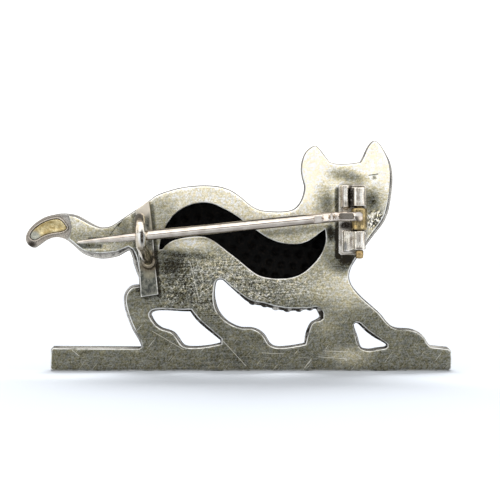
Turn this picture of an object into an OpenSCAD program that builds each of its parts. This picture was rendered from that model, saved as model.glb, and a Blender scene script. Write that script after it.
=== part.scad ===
// Cat brooch in silver, seen from its pinned back along +Y: +X right, +Z up, pin towards -Y.
// The origin is the middle of the underside of the base bar, on which the brooch stands.
// Outlines lie on a drawing grid: x in squares from the left end of the bar, z in squares
// above its underside. The grid stretches with the bar length and the overall height.

/* [Brooch] */
// Length of the base bar
bar_l = 42; // [34:0.5:52]
// Height from the underside of the bar to the higher ear
cat_h = 24.1; // [20:0.5:30]
// Thickness of the flat back plate
plate_t = 0.9; // [0.6:0.1:1.4]
// Width by which the front shows round the edge of the plate
rim_w = 0.27; // [0.15:0.01:0.4]

/* [Front] */
// Height of the relief over the haunch and body
relief_h = 3.1; // [2.4:0.1:4]
// Height of the bar in front of the plate, which makes the foot deep enough to stand on
bar_relief = 2.2; // [1.4:0.1:2.6]
// Thickness of the flat web that joins the limbs
web_t = 0.7; // [0.5:0.1:1]
// Wall of the hollow behind the body
wall = 0.75; // [0.6:0.05:1]
// Depth of the pocket in the tip of the tail
pocket_d = 0.75; // [0.5:0.05:0.9]
// Height of the raised lip round that pocket
lip_h = 0.25; // [0.1:0.05:0.4]

/* [Stones] */
// Diameter of one stone
stone_d = 0.95; // [0.8:0.05:1]
// Height of one stone above its seat
stone_h = 0.42; // [0.3:0.02:0.6]
// Distance between stones along a row
stone_pitch = 1.28; // [1.15:0.01:1.6]

/* [Catch] */
// Thickness of the soldered strip
strip_t = 0.85; // [0.6:0.05:1.1]
// Diameter of the hook wire
hook_wire = 1.1; // [0.8:0.05:1.2]
// Outer width of the hook from its crown side to side
hook_w = 4.2; // [4:0.1:5]

/* [Hinge] */
// Thickness of the hinge plate
bed_t = 0.45; // [0.3:0.05:0.7]
// Diameter of the middle knuckle, which turns with the pin
knuckle_d = 1.6; // [1.4:0.05:1.9]
// Diameter of the two fixed knuckles
fixed_knuckle_d = 1.36; // [1.2:0.02:1.5]
// Diameter of the rivet through the knuckles
rivet_d = 0.6; // [0.5:0.05:0.8]
// Diameter of the rivet's upset lower end
rivet_head_d = 0.84; // [0.8:0.02:1.1]

/* [Pin] */
// Diameter of the pin stem
stem_d = 1.06; // [0.8:0.02:1.16]
// Diameter of the rounded point
point_d = 0.26; // [0.2:0.02:0.4]

/* [Hidden] */

// Clearance of a turning fit, and of a stone over its seat
fit = 0.04;
seat_gap = 0.17;
// Squares of the drawing grid along the bar and up to the ear
GRID_X = 402;
GRID_Z = 231;
sq_x = bar_l / GRID_X;
sq_z = cat_h / GRID_Z;
sq = min(sq_x, sq_z);
function gx(x) = (x - GRID_X / 2) * sq_x;
function gz(z) = z * sq_z;
function gp(p) = [gx(p[0]), gz(p[1])];
// The seam between plate and front, measured from the middle of the bar's depth
seam_y = (plate_t - bar_relief) / 2;

// Outer edge of the front, clockwise from the bar's lower left corner:
// x and z in squares, inset of the plate as a share of rim_w, 1 at a sharp corner
OUTLINE = [
    [0, 0, 0, 1], [0, 21, .5, 1], [2.5, 24, .5, 1], [89, 23.5, .5, 1], [91, 24.5, .5, 1],
    [88, 31, 1, 0], [83, 39.5, 1, 0], [78.5, 49.5, 1, 0], [75, 60, 1, 0], [73.3, 69, 1, 0],
    [74, 76.5, 1, 0], [77, 82, 1, 0], [82, 85.7, .9, 0], [88.5, 86.2, .9, 1],
    [88.2, 93, .9, 0], [86, 99, 1.4, 0], [83.5, 106, 1.8, 0], [82, 113, 1.8, 0],
    [80, 118.5, 1.6, 0], [78.5, 120.7, 1.5, 1],
    [74, 118.4, 1.6, 0], [68, 115, 1.9, 0], [60, 113, 2.2, 0], [51, 112.3, 2.2, 0],
    [42, 113.7, 1.9, 0], [33, 117, 1.5, 0], [26, 122.5, 1.1, 0], [20, 128, 1, 0],
    [14, 132, 1, 0], [7, 133.8, 1, 0], [0, 133, 1, 0], [-6, 130, 1, 0],
    [-12, 125.5, 1, 0], [-16, 123.2, 1, 0], [-20.5, 124.5, 1, 0], [-24, 128, 1, 0],
    [-25.3, 133, 1, 0], [-23.5, 139, 1, 0], [-19, 145, 1, 0], [-13, 150, 1, 0],
    [-6, 154, 1, 0], [2, 156.3, 1, 0], [11, 157.8, .9, 0], [20, 157.3, .8, 0],
    [27, 155.7, .8, 0], [34, 152, .8, 0], [41, 148, .7, 0], [48, 144.7, .5, 0],
    [54, 144, .4, 0], [61, 145.5, .4, 0], [69, 150.5, .4, 0], [78, 156.7, .4, 0],
    [87, 162.5, .4, 0], [97, 169.5, .4, 0], [106, 176, .4, 0], [117, 180.2, .4, 0],
    [130, 183.7, .4, 0], [144, 185.6, .4, 0], [158, 186, .4, 0], [171, 184.5, .4, 0],
    [182, 180.5, .4, 0], [192, 173.5, .4, 0], [201, 166, .4, 0], [210, 161.5, .4, 0],
    [222, 160, .4, 0], [234, 160, .4, 0], [243, 162, .4, 0], [249, 167.5, .4, 0],
    [253, 176, .4, 0], [254.3, 185, .4, 0], [252.3, 193, .4, 0], [251, 201, .4, 0],
    [251.8, 210, .4, 0], [255, 218.5, .4, 0], [260, 223.5, .4, 0], [265.5, 226, .4, 0],
    [270, 222.5, .4, 0], [275, 216, .4, 0], [280, 209.5, .4, 1], [288, 207.7, .4, 0],
    [300, 208, .4, 0], [310.5, 209.5, .4, 1], [314, 216.5, .4, 0], [318, 225, .4, 0],
    [323.5, 231, .4, 0], [329, 228.7, .4, 0], [334, 222, .5, 0], [338.5, 214, .7, 0],
    [341.5, 206.5, 1, 0], [343, 197, 1.2, 0], [342.8, 184, 1.3, 0], [341, 170, 1.3, 0],
    [338, 157, 1.3, 0], [333, 147, 1.3, 0], [324, 135.5, 1.2, 0], [316.5, 125.5, 1, 0],
    [309, 115, .7, 0], [303, 106, .5, 0], [300, 98.5, .5, 0], [300, 91, .5, 0],
    [304, 83, .5, 0], [312, 74, .5, 0], [321, 66, .5, 0], [330, 58, .5, 0],
    [336, 50.5, .5, 0], [342, 45, .5, 0], [349, 42.5, .5, 0], [358, 42.2, .5, 0],
    [367, 40, .5, 0], [374, 34.5, .5, 0], [378.5, 27.5, .5, 1], [381, 25, .5, 1],
    [399, 23, .5, 1], [402, 19, .3, 1], [402, 4, .2, 1], [400, 0, 0, 1],
];
// The three openings between the legs, with the same columns
LEG_OPENINGS = [
    [
        [101, 56.5, .8, 0], [103.5, 59, .8, 0], [110, 60.3, .7, 0], [122, 60, .7, 0],
        [133, 59.3, .7, 0], [140, 59.2, 1, 1], [146, 51, 1.1, 0], [154, 43.5, 1.1, 0],
        [162, 37, 1, 0], [170, 30.5, .8, 1], [170.5, 28, .5, 1], [160, 25.5, .4, 0],
        [147, 24, .4, 0], [137, 24.5, .5, 0], [132.5, 27.5, .8, 0], [129, 32.5, .8, 0],
        [124.5, 38, .7, 0], [119, 40.7, .5, 0], [112, 42.7, .5, 0], [106, 47, .5, 0],
        [102.3, 52.5, .6, 0],
    ],
    [
        [166, 88, .4, 0], [169, 91, .4, 0], [173, 90.5, .4, 0], [180, 84.2, .5, 0],
        [189, 76, .8, 0], [200, 67.3, 1.3, 0], [212, 65, 1.3, 0], [225, 61.7, 1.2, 0],
        [238, 59.7, 1.2, 0], [250, 60.4, .9, 0], [261, 61.5, .6, 0], [266, 61.7, 1, 0],
        [268.3, 58, 1.8, 0], [270, 53.5, 1.4, 0], [266, 50.7, .5, 0], [261, 48, .6, 0],
        [257.5, 42, .9, 0], [255.3, 35, .9, 0], [254.5, 27.7, .6, 1], [246, 25.7, .4, 0],
        [234, 24, .4, 0], [225.5, 24.3, .4, 0], [220, 28, .8, 0], [216, 34.5, .8, 0],
        [210.5, 40, .7, 0], [202, 43.3, .5, 0], [192, 43.5, .4, 0], [184, 46, .4, 0],
        [176, 51, .5, 0], [169, 59.5, .8, 0], [166, 68, .8, 0], [164.7, 77, .5, 0],
    ],
    [
        [304.3, 45.5, .4, 0], [306.5, 47.7, .4, 0], [310, 45.5, .8, 0], [316, 39.5, .9, 0],
        [324, 33.5, .9, 0], [332, 29, .6, 0], [336.5, 26, .4, 0], [335.5, 23.5, .4, 0],
        [328, 22.3, .4, 0], [320.5, 21, .4, 0], [314, 22, .5, 0], [310.5, 25.5, .8, 0],
        [308.5, 33, 1, 0], [306, 40, .6, 0],
    ],
];
// The S-shaped opening sawn in the plate over the hollow body
BODY_OPENING = [
    [109, 121.5, 0, 1], [110, 129, 0, 0], [113, 139, 0, 0], [118, 149, 0, 0],
    [125, 157.5, 0, 0], [134, 163.7, 0, 0], [144, 167.4, 0, 0], [154, 168.6, 0, 0],
    [163, 167.2, 0, 0], [172, 163.2, 0, 0], [182, 158, 0, 0], [193, 150.5, 0, 0],
    [204, 142.5, 0, 0], [214, 135.5, 0, 0], [225, 130, 0, 0], [237, 127.2, 0, 0],
    [250, 127.2, 0, 0], [260, 131, 0, 0], [269, 137.5, 0, 0], [275, 141.7, 0, 1],
    [276, 133, 0, 0], [274, 123, 0, 0], [269, 113.5, 0, 0], [261, 104.5, 0, 0],
    [252, 97.3, 0, 0], [242, 93.5, 0, 0], [231, 92.3, 0, 0], [219, 93, 0, 0],
    [208, 96, 0, 0], [198, 103, 0, 0], [188, 111.5, 0, 0], [177, 120, 0, 0],
    [166, 128.5, 0, 0], [156, 133.7, 0, 0], [145, 134.5, 0, 0], [134, 133.2, 0, 0],
    [124, 130.8, 0, 0], [117, 126.7, 0, 0], [112, 121.7, 0, 1],
];
// Mouth of the pocket in the tip of the tail, with the same columns
POCKET = [
    [-21, 134, 0, 0], [-19, 139.5, 0, 0], [-14, 144.5, 0, 0], [-7, 149, 0, 0],
    [0, 151.5, 0, 0], [7, 152.5, 0, 0], [11.5, 150, 0, 0], [15.5, 145, 0, 0],
    [16, 142.5, 0, 0], [12, 139.7, 0, 0], [4, 138.5, 0, 0], [-3, 137, 0, 0],
    [-9, 134.5, 0, 0], [-14, 131.5, 0, 0], [-17.5, 131, 0, 0],
];

// A closed smooth curve through a table, straight where both ends of a step are corners
STEPS = 2;
function spline(a, b, c, d, t) =
    b + 0.5 * t * (c - a + t * (2 * a - 5 * b + 4 * c - d + t * (3 * b - a - 3 * c + d)));
function curve(rows) = [
    for (i = [0:len(rows) - 1])
        let (
            n = len(rows),
            b = rows[i],
            c = rows[(i + 1) % n],
            a = b[3] > 0 ? 2 * b - c : rows[(i + n - 1) % n],
            d = c[3] > 0 ? 2 * c - b : rows[(i + 2) % n],
            steps = b[3] > 0 && c[3] > 0 ? 1 : STEPS
        )
        for (k = [0:steps - 1])
            let (p = spline(a, b, c, d, k / steps)) [gx(p[0]), gz(p[1]), p[2] * rim_w]
];
function unit(v) = v / max(norm(v), 1e-9);
// The same curve moved to its right-hand side, which is inwards on the clockwise tables
function inset(points, side) = [
    for (i = [0:len(points) - 1])
        let (
            n = len(points),
            before = points[(i + n - 1) % n],
            after = points[(i + 1) % n],
            along = unit([after[0] - before[0], after[1] - before[1]])
        )
        [points[i][0], points[i][1]] + side * points[i][2] * [along[1], -along[0]]
];
function flat(points) = [for (p = points) [p[0], p[1]]];

// Places its children with z out of the back, or out of the front, from the seam
module behind() { translate([0, seam_y, 0]) rotate([90, 0, 0]) children(); }
module in_front() { translate([0, seam_y, 0]) rotate([90, 0, 0]) mirror([0, 0, 1]) children(); }
module on_plate() { behind() translate([0, 0, plate_t]) children(); }

/* Back plate */
// The plate ends in a round step where the tip of the tail begins: middle and radius in squares
TAIL_END = [-3, 144];
TAIL_END_R = 24;
// All of the tail's tip lies to the left of that step
module tail_tip() {
    polygon([
        for (a = [-90:5:90]) gp(TAIL_END + TAIL_END_R * [cos(a), sin(a)]),
        gp(TAIL_END + [-GRID_X, TAIL_END_R]),
        gp(TAIL_END + [-GRID_X, -TAIL_END_R]),
    ]);
}
module back_plate() {
    color("#8f8f86")
    behind()
    linear_extrude(plate_t)
    difference() {
        polygon(inset(curve(OUTLINE), 1));
        tail_tip();
        for (rows = LEG_OPENINGS) polygon(inset(curve(rows), -1));
        polygon(flat(curve(BODY_OPENING)));
    }
}

/* Front relief */
// Limbs as chains of round-topped knobs: x, z and half width in squares, height as a share
TAIL = [[-14, 135, 11, .42], [-2, 144, 12, .46], [12, 146, 13, .48], [27, 141, 14, .5],
        [40, 132, 15, .52], [55, 128, 16, .56], [70, 131, 18, .62], [92, 143, 24, .75]];
BODY = [[112, 140, 34, .85], [140, 137, 47, .98], [190, 124, 48, .96], [235, 112, 47, .92],
        [272, 110, 44, .95]];
NECK = [[272, 110, 44, .95], [284, 140, 38, .93], [297, 166, 38, .95]];
REAR_LEG = [[112, 128, 32, .8], [94, 84, 20, .62], [90, 62, 17, .55], [104, 40, 14, .5],
            [120, 28, 12, .46]];
HIND_LEG = [[141, 124, 40, 1.05], [148, 84, 28, .85], [164, 52, 15, .62], [186, 36, 10, .52],
            [206, 31, 9, .48]];
FRONT_LEG = [[276, 102, 37, 1.03], [284, 66, 28, .75], [282, 42, 24, .62], [281, 28, 23, .52]];
FORE_PAW = [[286, 96, 34, .88], [306, 66, 19, .68], [330, 46, 13, .58], [350, 34, 11, .55],
            [368, 29, 10, .5]];
HEAD = [[285, 182, 31, 1], [310, 183, 31, 1]];
CHEEKS = [[277, 170, 21, .98], [318, 170, 21, .98]];
CHIN = [[297.5, 170, 22, 1.04], [297.5, 154, 15, 1.06]];
LEFT_EAR = [[267, 196, 16, .62], [266, 212, 10, .45], [265.5, 221, 5, .34]];
RIGHT_EAR = [[326, 198, 16, .62], [324.5, 215, 10, .45], [323.5, 226, 5, .34]];
LIMBS = [TAIL, BODY, NECK, REAR_LEG, HIND_LEG, FRONT_LEG, FORE_PAW, HEAD, CHEEKS, CHIN,
         LEFT_EAR, RIGHT_EAR];
// Features of the face in the same columns: bridge and nose, the two whisker pads, the two eyes
FACE = [[[297.5, 186, 16, 1.05], [297.5, 169, 12, 1.13], [297.5, 165, 8, 1.18]],
        [[287.5, 162, 15, 1.08], [291, 159, 14, 1.13]],
        [[307.5, 162, 15, 1.08], [304, 159, 14, 1.13]],
        [[277, 180, 10, 1.03], [284, 176.5, 10, 1.08]],
        [[318, 180, 10, 1.03], [311, 176.5, 10, 1.08]]];
// Swellings of the front round the lowest row of stones: x and z in squares
SCALLOPS = [[203, 71], [215, 68.5], [226, 65.6], [237.5, 63.8], [249, 64], [260, 65.3]];
scallop_r = 5.3;
// Top of the bar's raised front, in squares
BAR_Z = 22.6;
knob_fn = 20;

// Each knob is turned by its own angle, so that the facets of two limbs never line up
module knob(row, less) {
    translate([gx(row[0]), gz(row[1]), 0])
    rotate([0, 0, 7 * row[0] + 3.1 * row[1]])
    scale([row[2] * sq - less, row[2] * sq - less, row[3] * relief_h - less])
    sphere(r = 1, $fn = knob_fn);
}
module limb(rows, less = 0) {
    for (i = [0:len(rows) - 2])
        hull() {
            knob(rows[i], less);
            knob(rows[i + 1], less);
        }
}
module front_shape() {
    difference() {
        polygon(flat(curve(OUTLINE)));
        difference() {
            for (rows = LEG_OPENINGS) polygon(flat(curve(rows)));
            for (c = SCALLOPS) translate(gp(c)) circle(r = scallop_r * sq, $fn = 16);
        }
    }
}
// The hollow follows the body and neck inside their wall, and keeps a rim along every edge
module hollow() {
    past = 1;
    rim = .9 * wall;
    intersection() {
        translate([0, 0, -past]) linear_extrude(past + 2 * relief_h) offset(delta = -rim) front_shape();
        union() {
            limb(BODY, wall);
            limb([for (row = NECK) [row[0], row[1], row[2] * .8, row[3]]], wall);
        }
    }
}
module pocket(from, to) {
    translate([0, 0, from]) linear_extrude(to - from) polygon(flat(curve(POCKET)));
}
module front_relief() {
    past = 1;
    color("#a3a39a")
    in_front()
    difference() {
        union() {
            intersection() {
                linear_extrude(2 * relief_h) front_shape();
                union() {
                    translate([-bar_l, -cat_h, -past]) cube([2 * bar_l, 3 * cat_h, past + web_t]);
                    translate([-bar_l, -past, -past])
                    cube([2 * bar_l, gz(BAR_Z) + past, past + bar_relief]);
                    for (rows = LIMBS) limb(rows);
                    for (rows = FACE) limb(rows);
                }
            }
            translate([0, 0, -lip_h])
            linear_extrude(lip_h + web_t / 2)
            offset(delta = 1.7 * sq)
            polygon(flat(curve(POCKET)));
        }
        hollow();
        pocket(-past, pocket_d);
    }
}

/* Stones */
// The stone-set field of the body: x, top and bottom in squares
FIELD = [[97, 156, 102], [120, 168, 92], [150, 174, 94], [172, 171, 98], [196, 155, 86],
         [230, 148, 76], [262, 144, 74], [296, 138, 84]];
stone_rows = 6;
function between(rows, x, column) = lookup(x, [for (row = rows) [row[0], row[column]]]);
field_from = gx(FIELD[0][0]);
field_to = gx(FIELD[len(FIELD) - 1][0]);
row_stones = floor((field_to - field_from) / stone_pitch);
// Height of the relief at a point: the highest of all limb steps there
function step_height(a, b, p) =
    let (
        pa = gp(a),
        pb = gp(b),
        run = norm(pb - pa),
        t = max(0, min(1, ((p - pa) * (pb - pa)) / (run * run))),
        taper = (a[2] - b[2]) * sq / run,
        swell = 1 / sqrt(max(0.3, 1 - taper * taper)),
        r = (a[2] + t * (b[2] - a[2])) * sq * swell,
        q = norm(p - pa - t * (pb - pa)) / r
    )
    q < 1 ? (a[3] + t * (b[3] - a[3])) * relief_h * swell * sqrt(1 - q * q) : 0;
function height(p) = max([
    for (rows = LIMBS)
        for (i = [0:len(rows) - 2]) step_height(rows[i], rows[i + 1], p)
]);
probe = 0.1;
module stone() {
    girdle = stone_h * 0.3;
    hull() {
        cylinder(h = girdle, d = stone_d, $fn = 8);
        cylinder(h = stone_h, d1 = stone_d, d2 = stone_d * 0.45, $fn = 8);
    }
}
module pave_stones() {
    color("#2e2e33")
    in_front()
    for (j = [0:stone_rows - 1])
        for (i = [0:row_stones]) {
            x = field_from + (i + (j % 2) * 0.5) * stone_pitch;
            sx = x / sq_x + GRID_X / 2;
            top = between(FIELD, sx, 1);
            bottom = between(FIELD, sx, 2);
            z = gz(bottom + (top - bottom) * (j + 0.5) / stone_rows);
            h = height([x, z]);
            slope_x = (height([x + probe, z]) - height([x - probe, z])) / (2 * probe);
            slope_z = (height([x, z + probe]) - height([x, z - probe])) / (2 * probe);
            lean = atan(norm([slope_x, slope_z]));
            if (x <= field_to)
                translate([x, z, h])
                rotate([0, 0, atan2(-slope_z, -slope_x)])
                rotate([0, lean, 0])
                translate([0, 0, seat_gap])
                stone();
        }
}

/* Tail filling */
module tail_fill() {
    color("#b59a5c")
    in_front()
    translate([0, 0, -lip_h * 0.6])
    linear_extrude(pocket_d + lip_h * 0.6 - fit)
    offset(delta = -fit) polygon(flat(curve(POCKET)));
}

/* Hinge and pin sizes */
// Middle of the rivet, in squares from the bar's end and above the plate
HINGE_X = 308.7;
knuckle_h = bed_t + knuckle_d / 2 + 2 * fit;
// The stem is soldered on top of the middle knuckle, let into it by this much
saddle = 0.15;
stem_h = knuckle_h + knuckle_d / 2 + stem_d / 2 - saddle;
// Root, bend and point of the stem, in squares
ROOT = [307.7, 154];
BEND = [286, 154];
POINT = [29, 128.7];
// Share of the length from bend to point that keeps its full thickness
straight = 0.72;

// Turns its children's Z to run from one point to another, and places them at the first
module along(from, to) {
    run = to - from;
    translate(from)
    rotate([0, acos(run[2] / norm(run)), atan2(run[1], run[0])])
    children();
}
module rod(from, to, d) {
    along(from, to) cylinder(h = norm(to - from), d = d, $fn = 48);
}
// A round rod along Z through the hinge's axis, between two heights in squares
module on_axis(from, to, d) {
    translate([gx(HINGE_X), gz(from), knuckle_h])
    rotate([-90, 0, 0])
    cylinder(h = gz(to - from), d = d, $fn = 48);
}

/* Catch */
// Strip: corners in squares, clockwise from the top left
STRIP = [[86, 160.5], [99, 170.2], [102, 149], [105.3, 109], [108.6, 76.7], [91.3, 74],
         [89.3, 113], [87, 141]];
// Middle of the hook and foot of its post on the strip, in squares
HOOK = [92.3, 137.5];
FOOT = [99.2, 109];
hook_lean = 3;
hook_r = (hook_w - hook_wire) / 2;
// Directions in which the post leaves the bow and its free end stops, from the foot's side
bow_from = 35;
bow_to = 176;
// The hook's middle lies this far above the plate, just below the stem's
bow_h = stem_h - 0.15;
function bow_point(angle) = [
    gx(HOOK[0]) + hook_r * cos(angle) * sin(hook_lean),
    gz(HOOK[1]) - hook_r * cos(angle) * cos(hook_lean),
    bow_h + hook_r * sin(angle)
];
module bow() {
    translate(concat(gp(HOOK), bow_h))
    rotate([0, 0, hook_lean])
    rotate([90, 0, -90])
    rotate([0, 0, bow_from])
    rotate_extrude(angle = bow_to - bow_from, $fn = 48)
    translate([hook_r, 0])
    circle(d = hook_wire, $fn = 48);
}
module catch() {
    blend = 1.02;
    fillet_h = 0.35;
    foot = concat(gp(FOOT), strip_t - 0.1);
    color("#a8a599")
    on_plate() {
        linear_extrude(strip_t) polygon([for (p = STRIP) gp(p)]);
        bow();
        translate(bow_point(bow_from)) sphere(d = hook_wire * blend, $fn = 48);
        rod(bow_point(bow_from), foot, hook_wire);
        translate([foot[0], foot[1], strip_t])
        cylinder(h = fillet_h, d1 = hook_wire * 1.5, d2 = hook_wire * 1.1, $fn = 48);
    }
}

/* Hinge plate */
// Bed: corners in squares; its lower right corner follows the jaw of the cat
BED = [[288.5, 184.5], [290, 186], [314, 186], [316, 184], [316, 127], [307, 116],
       [290.5, 116], [288.5, 118]];
// Heights of the fixed knuckles and of the turning one between them, in squares
UPPER = [164.8, 183];
MIDDLE = [141, 162.5];
LOWER = [121, 139.6];
// Folded ends of the sheet beside the knuckles: left, right, lower and upper side in squares
FOLDS = [[290.2, 299.2, 163.4, 185.5], [292.6, 301, 119.5, 139.6]];
// Heights above the bed of the sheet between fold and knuckle, which is deeper at the lower one
UPPER_WEB = 0.28;
LOWER_WEB = 0.83;
module fold(sides) {
    half = (gx(sides[1]) - gx(sides[0])) / 2;
    translate([gx(sides[0]), gz(sides[2]), 0]) cube([2 * half, gz(sides[3] - sides[2]), bed_t + half]);
    translate([gx(sides[0]) + half, gz(sides[2]), bed_t + half])
    rotate([-90, 0, 0])
    cylinder(h = gz(sides[3] - sides[2]), r = half, $fn = 48);
}
module fixed_knuckle(ends, web_h) {
    web_w = fixed_knuckle_d * 0.8;
    on_axis(ends[0], ends[1], fixed_knuckle_d);
    translate([gx(HINGE_X) - web_w / 2, gz(ends[0]), bed_t / 2])
    cube([web_w, gz(ends[1] - ends[0]), knuckle_h - bed_t / 2]);
    translate([gx(FOLDS[1][1] - 3), gz(ends[0]), bed_t / 2])
    cube([gx(HINGE_X) - gx(FOLDS[1][1] - 3), gz(ends[1] - ends[0]), bed_t / 2 + web_h]);
}
module hinge_plate() {
    color("#b3b1a8")
    on_plate()
    difference() {
        union() {
            linear_extrude(bed_t) polygon([for (p = BED) gp(p)]);
            for (sides = FOLDS) fold(sides);
            fixed_knuckle(UPPER, UPPER_WEB);
            fixed_knuckle(LOWER, LOWER_WEB);
        }
        on_axis(LOWER[0] - 5, UPPER[1] + 5, rivet_d + 2 * fit);
    }
}

/* Hinge rivet */
// Length of the upset end that stands out below the lower knuckle, and its gap to it in squares
head_l = 0.85;
HEAD_GAP = 0.5;
module hinge_rivet() {
    head_top = LOWER[0] - HEAD_GAP;
    color("#a8874a")
    on_plate() {
        on_axis(head_top - 1, UPPER[1] + HEAD_GAP, rivet_d);
        on_axis(head_top - head_l / sq_z, head_top, rivet_head_d);
    }
}

/* Pin knuckle */
module pin_knuckle() {
    color("#9c7c42")
    on_plate()
    difference() {
        on_axis(MIDDLE[0], MIDDLE[1], knuckle_d);
        on_axis(MIDDLE[0] - 1, MIDDLE[1] + 1, rivet_d + 2 * fit);
    }
}

/* Pin stem */
module pin_stem() {
    root = concat(gp(ROOT), stem_h);
    bend = concat(gp(BEND), stem_h);
    point = concat(gp(POINT), stem_h);
    stem_l = norm(point - bend);
    // The root is filed a little thinner and runs into the end of the stem at the bend
    root_d = stem_d * 0.94;
    lap = stem_d * 0.15;
    color("#c9c5ba")
    on_plate()
    difference() {
        union() {
            rod(root, bend + lap * unit(bend - root), root_d);
            along(bend, point)
            rotate_extrude($fn = 48)
            polygon([[0, 0], [stem_d / 2, 0], [stem_d / 2, straight * stem_l],
                     [point_d / 2, stem_l - point_d / 2], [point_d / 4, stem_l], [0, stem_l]]);
        }
        on_axis(MIDDLE[0] - 5, MIDDLE[1] + 5, knuckle_d + 0.02);
        // The root is cut off on a slant that faces out of the back
        translate(root)
        rotate([0, -40, 0])
        translate([0, -stem_d, -stem_d])
        cube([2 * stem_d, 2 * stem_d, 4 * stem_d]);
    }
}

back_plate();
front_relief();
pave_stones();
tail_fill();
catch();
hinge_plate();
hinge_rivet();
pin_knuckle();
pin_stem();
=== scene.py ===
"""Looks of a silver cat brooch, seen from its pinned back. Lengths are in mm until a piece is made."""

import math

import bmesh
import bpy
import numpy as np
from mathutils import Matrix, Vector, geometry, kdtree, noise
from mathutils.bvhtree import BVHTree


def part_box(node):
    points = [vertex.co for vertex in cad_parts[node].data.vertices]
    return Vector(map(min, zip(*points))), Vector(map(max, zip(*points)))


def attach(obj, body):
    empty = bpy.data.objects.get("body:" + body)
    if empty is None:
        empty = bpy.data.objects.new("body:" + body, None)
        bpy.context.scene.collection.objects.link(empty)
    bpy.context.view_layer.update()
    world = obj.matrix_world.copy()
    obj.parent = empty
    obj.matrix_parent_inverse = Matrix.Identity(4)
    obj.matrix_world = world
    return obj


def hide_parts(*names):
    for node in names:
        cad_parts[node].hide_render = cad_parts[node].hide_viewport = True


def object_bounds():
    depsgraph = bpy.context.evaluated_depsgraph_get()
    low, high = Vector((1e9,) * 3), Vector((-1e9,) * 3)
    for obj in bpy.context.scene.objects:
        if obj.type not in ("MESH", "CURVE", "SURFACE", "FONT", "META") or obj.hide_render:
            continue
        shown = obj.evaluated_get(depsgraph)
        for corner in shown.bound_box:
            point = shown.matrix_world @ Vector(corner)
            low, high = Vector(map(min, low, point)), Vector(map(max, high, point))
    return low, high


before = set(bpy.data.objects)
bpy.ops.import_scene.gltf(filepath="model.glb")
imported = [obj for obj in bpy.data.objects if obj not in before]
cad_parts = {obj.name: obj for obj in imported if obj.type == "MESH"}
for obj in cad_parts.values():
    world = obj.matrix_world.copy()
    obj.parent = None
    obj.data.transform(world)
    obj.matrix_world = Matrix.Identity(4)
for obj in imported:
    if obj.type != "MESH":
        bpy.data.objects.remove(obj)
cad_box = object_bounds()

MM = 0.001


def box_mm(node):
    """Lowest and highest corner of a CAD node, in mm."""
    low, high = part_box(node)
    return np.array(low) / MM, np.array(high) / MM


FRONT_LOW, FRONT_HIGH = box_mm("front_relief")
PLATE_LOW, PLATE_HIGH = box_mm("back_plate")
STEM_LOW, STEM_HIGH = box_mm("pin_stem")
FILL_LOW, FILL_HIGH = box_mm("tail_fill")
BACK_Y = PLATE_LOW[1]
SEAM_Y = PLATE_HIGH[1]

# Middle and foot of the bar in the photograph, the bar's length and the cat's height there,
# and one pixel across and up in mm
MIDDLE_PX = 251
FOOT_PX = 371
BAR_PX = 402
TALL_PX = 231
PIXEL_X = 2 * FRONT_HIGH[0] / BAR_PX
PIXEL_Z = FRONT_HIGH[2] / TALL_PX


def spot(x, y):
    """Place in mm, across and up, of a point seen in the photograph."""
    return np.array([(x - MIDDLE_PX) * PIXEL_X, (FOOT_PX - y) * PIXEL_Z])


def spots(points):
    """Places in mm of several points seen in the photograph."""
    return [spot(*point) for point in points]


# Camera

# Distance of the camera from the plate and width of its film in mm, and the photograph's size
CAMERA_DISTANCE = 200
FILM = 36
PICTURE_W = 500
PICTURE_H = 503


def make_camera():
    """Looks straight at the back of the plate, from as high as the middle of the picture."""
    middle = spot(PICTURE_W / 2, PICTURE_H / 2)
    data = bpy.data.cameras.new("camera")
    data.sensor_fit = "HORIZONTAL"
    data.sensor_width = FILM
    data.lens = FILM * CAMERA_DISTANCE / (PICTURE_W * PIXEL_X)
    data.clip_start = 0.01
    camera = bpy.data.objects.new("camera", data)
    bpy.context.scene.collection.objects.link(camera)
    camera.location = Vector((middle[0], BACK_Y - CAMERA_DISTANCE, middle[1])) * MM
    camera.rotation_euler = (math.radians(90), 0, 0)
    bpy.context.scene.camera = camera


# Finishes


class Value:
    """A socket of a finish that can stand in sums."""

    def __init__(self, finish, socket):
        self.finish = finish
        self.socket = socket

    def reckon(self, operation, first, second):
        """The result of one sum as a new value."""
        return self.finish.node("ShaderNodeMath", {"operation": operation}, {0: first, 1: second})

    def __add__(self, other):
        return self.reckon("ADD", self, other)

    def __sub__(self, other):
        return self.reckon("SUBTRACT", self, other)

    def __rsub__(self, other):
        return self.reckon("SUBTRACT", other, self)

    def __mul__(self, other):
        return self.reckon("MULTIPLY", self, other)

    def __pow__(self, other):
        return self.reckon("POWER", self, other)

    __radd__ = __add__
    __rmul__ = __mul__


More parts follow.
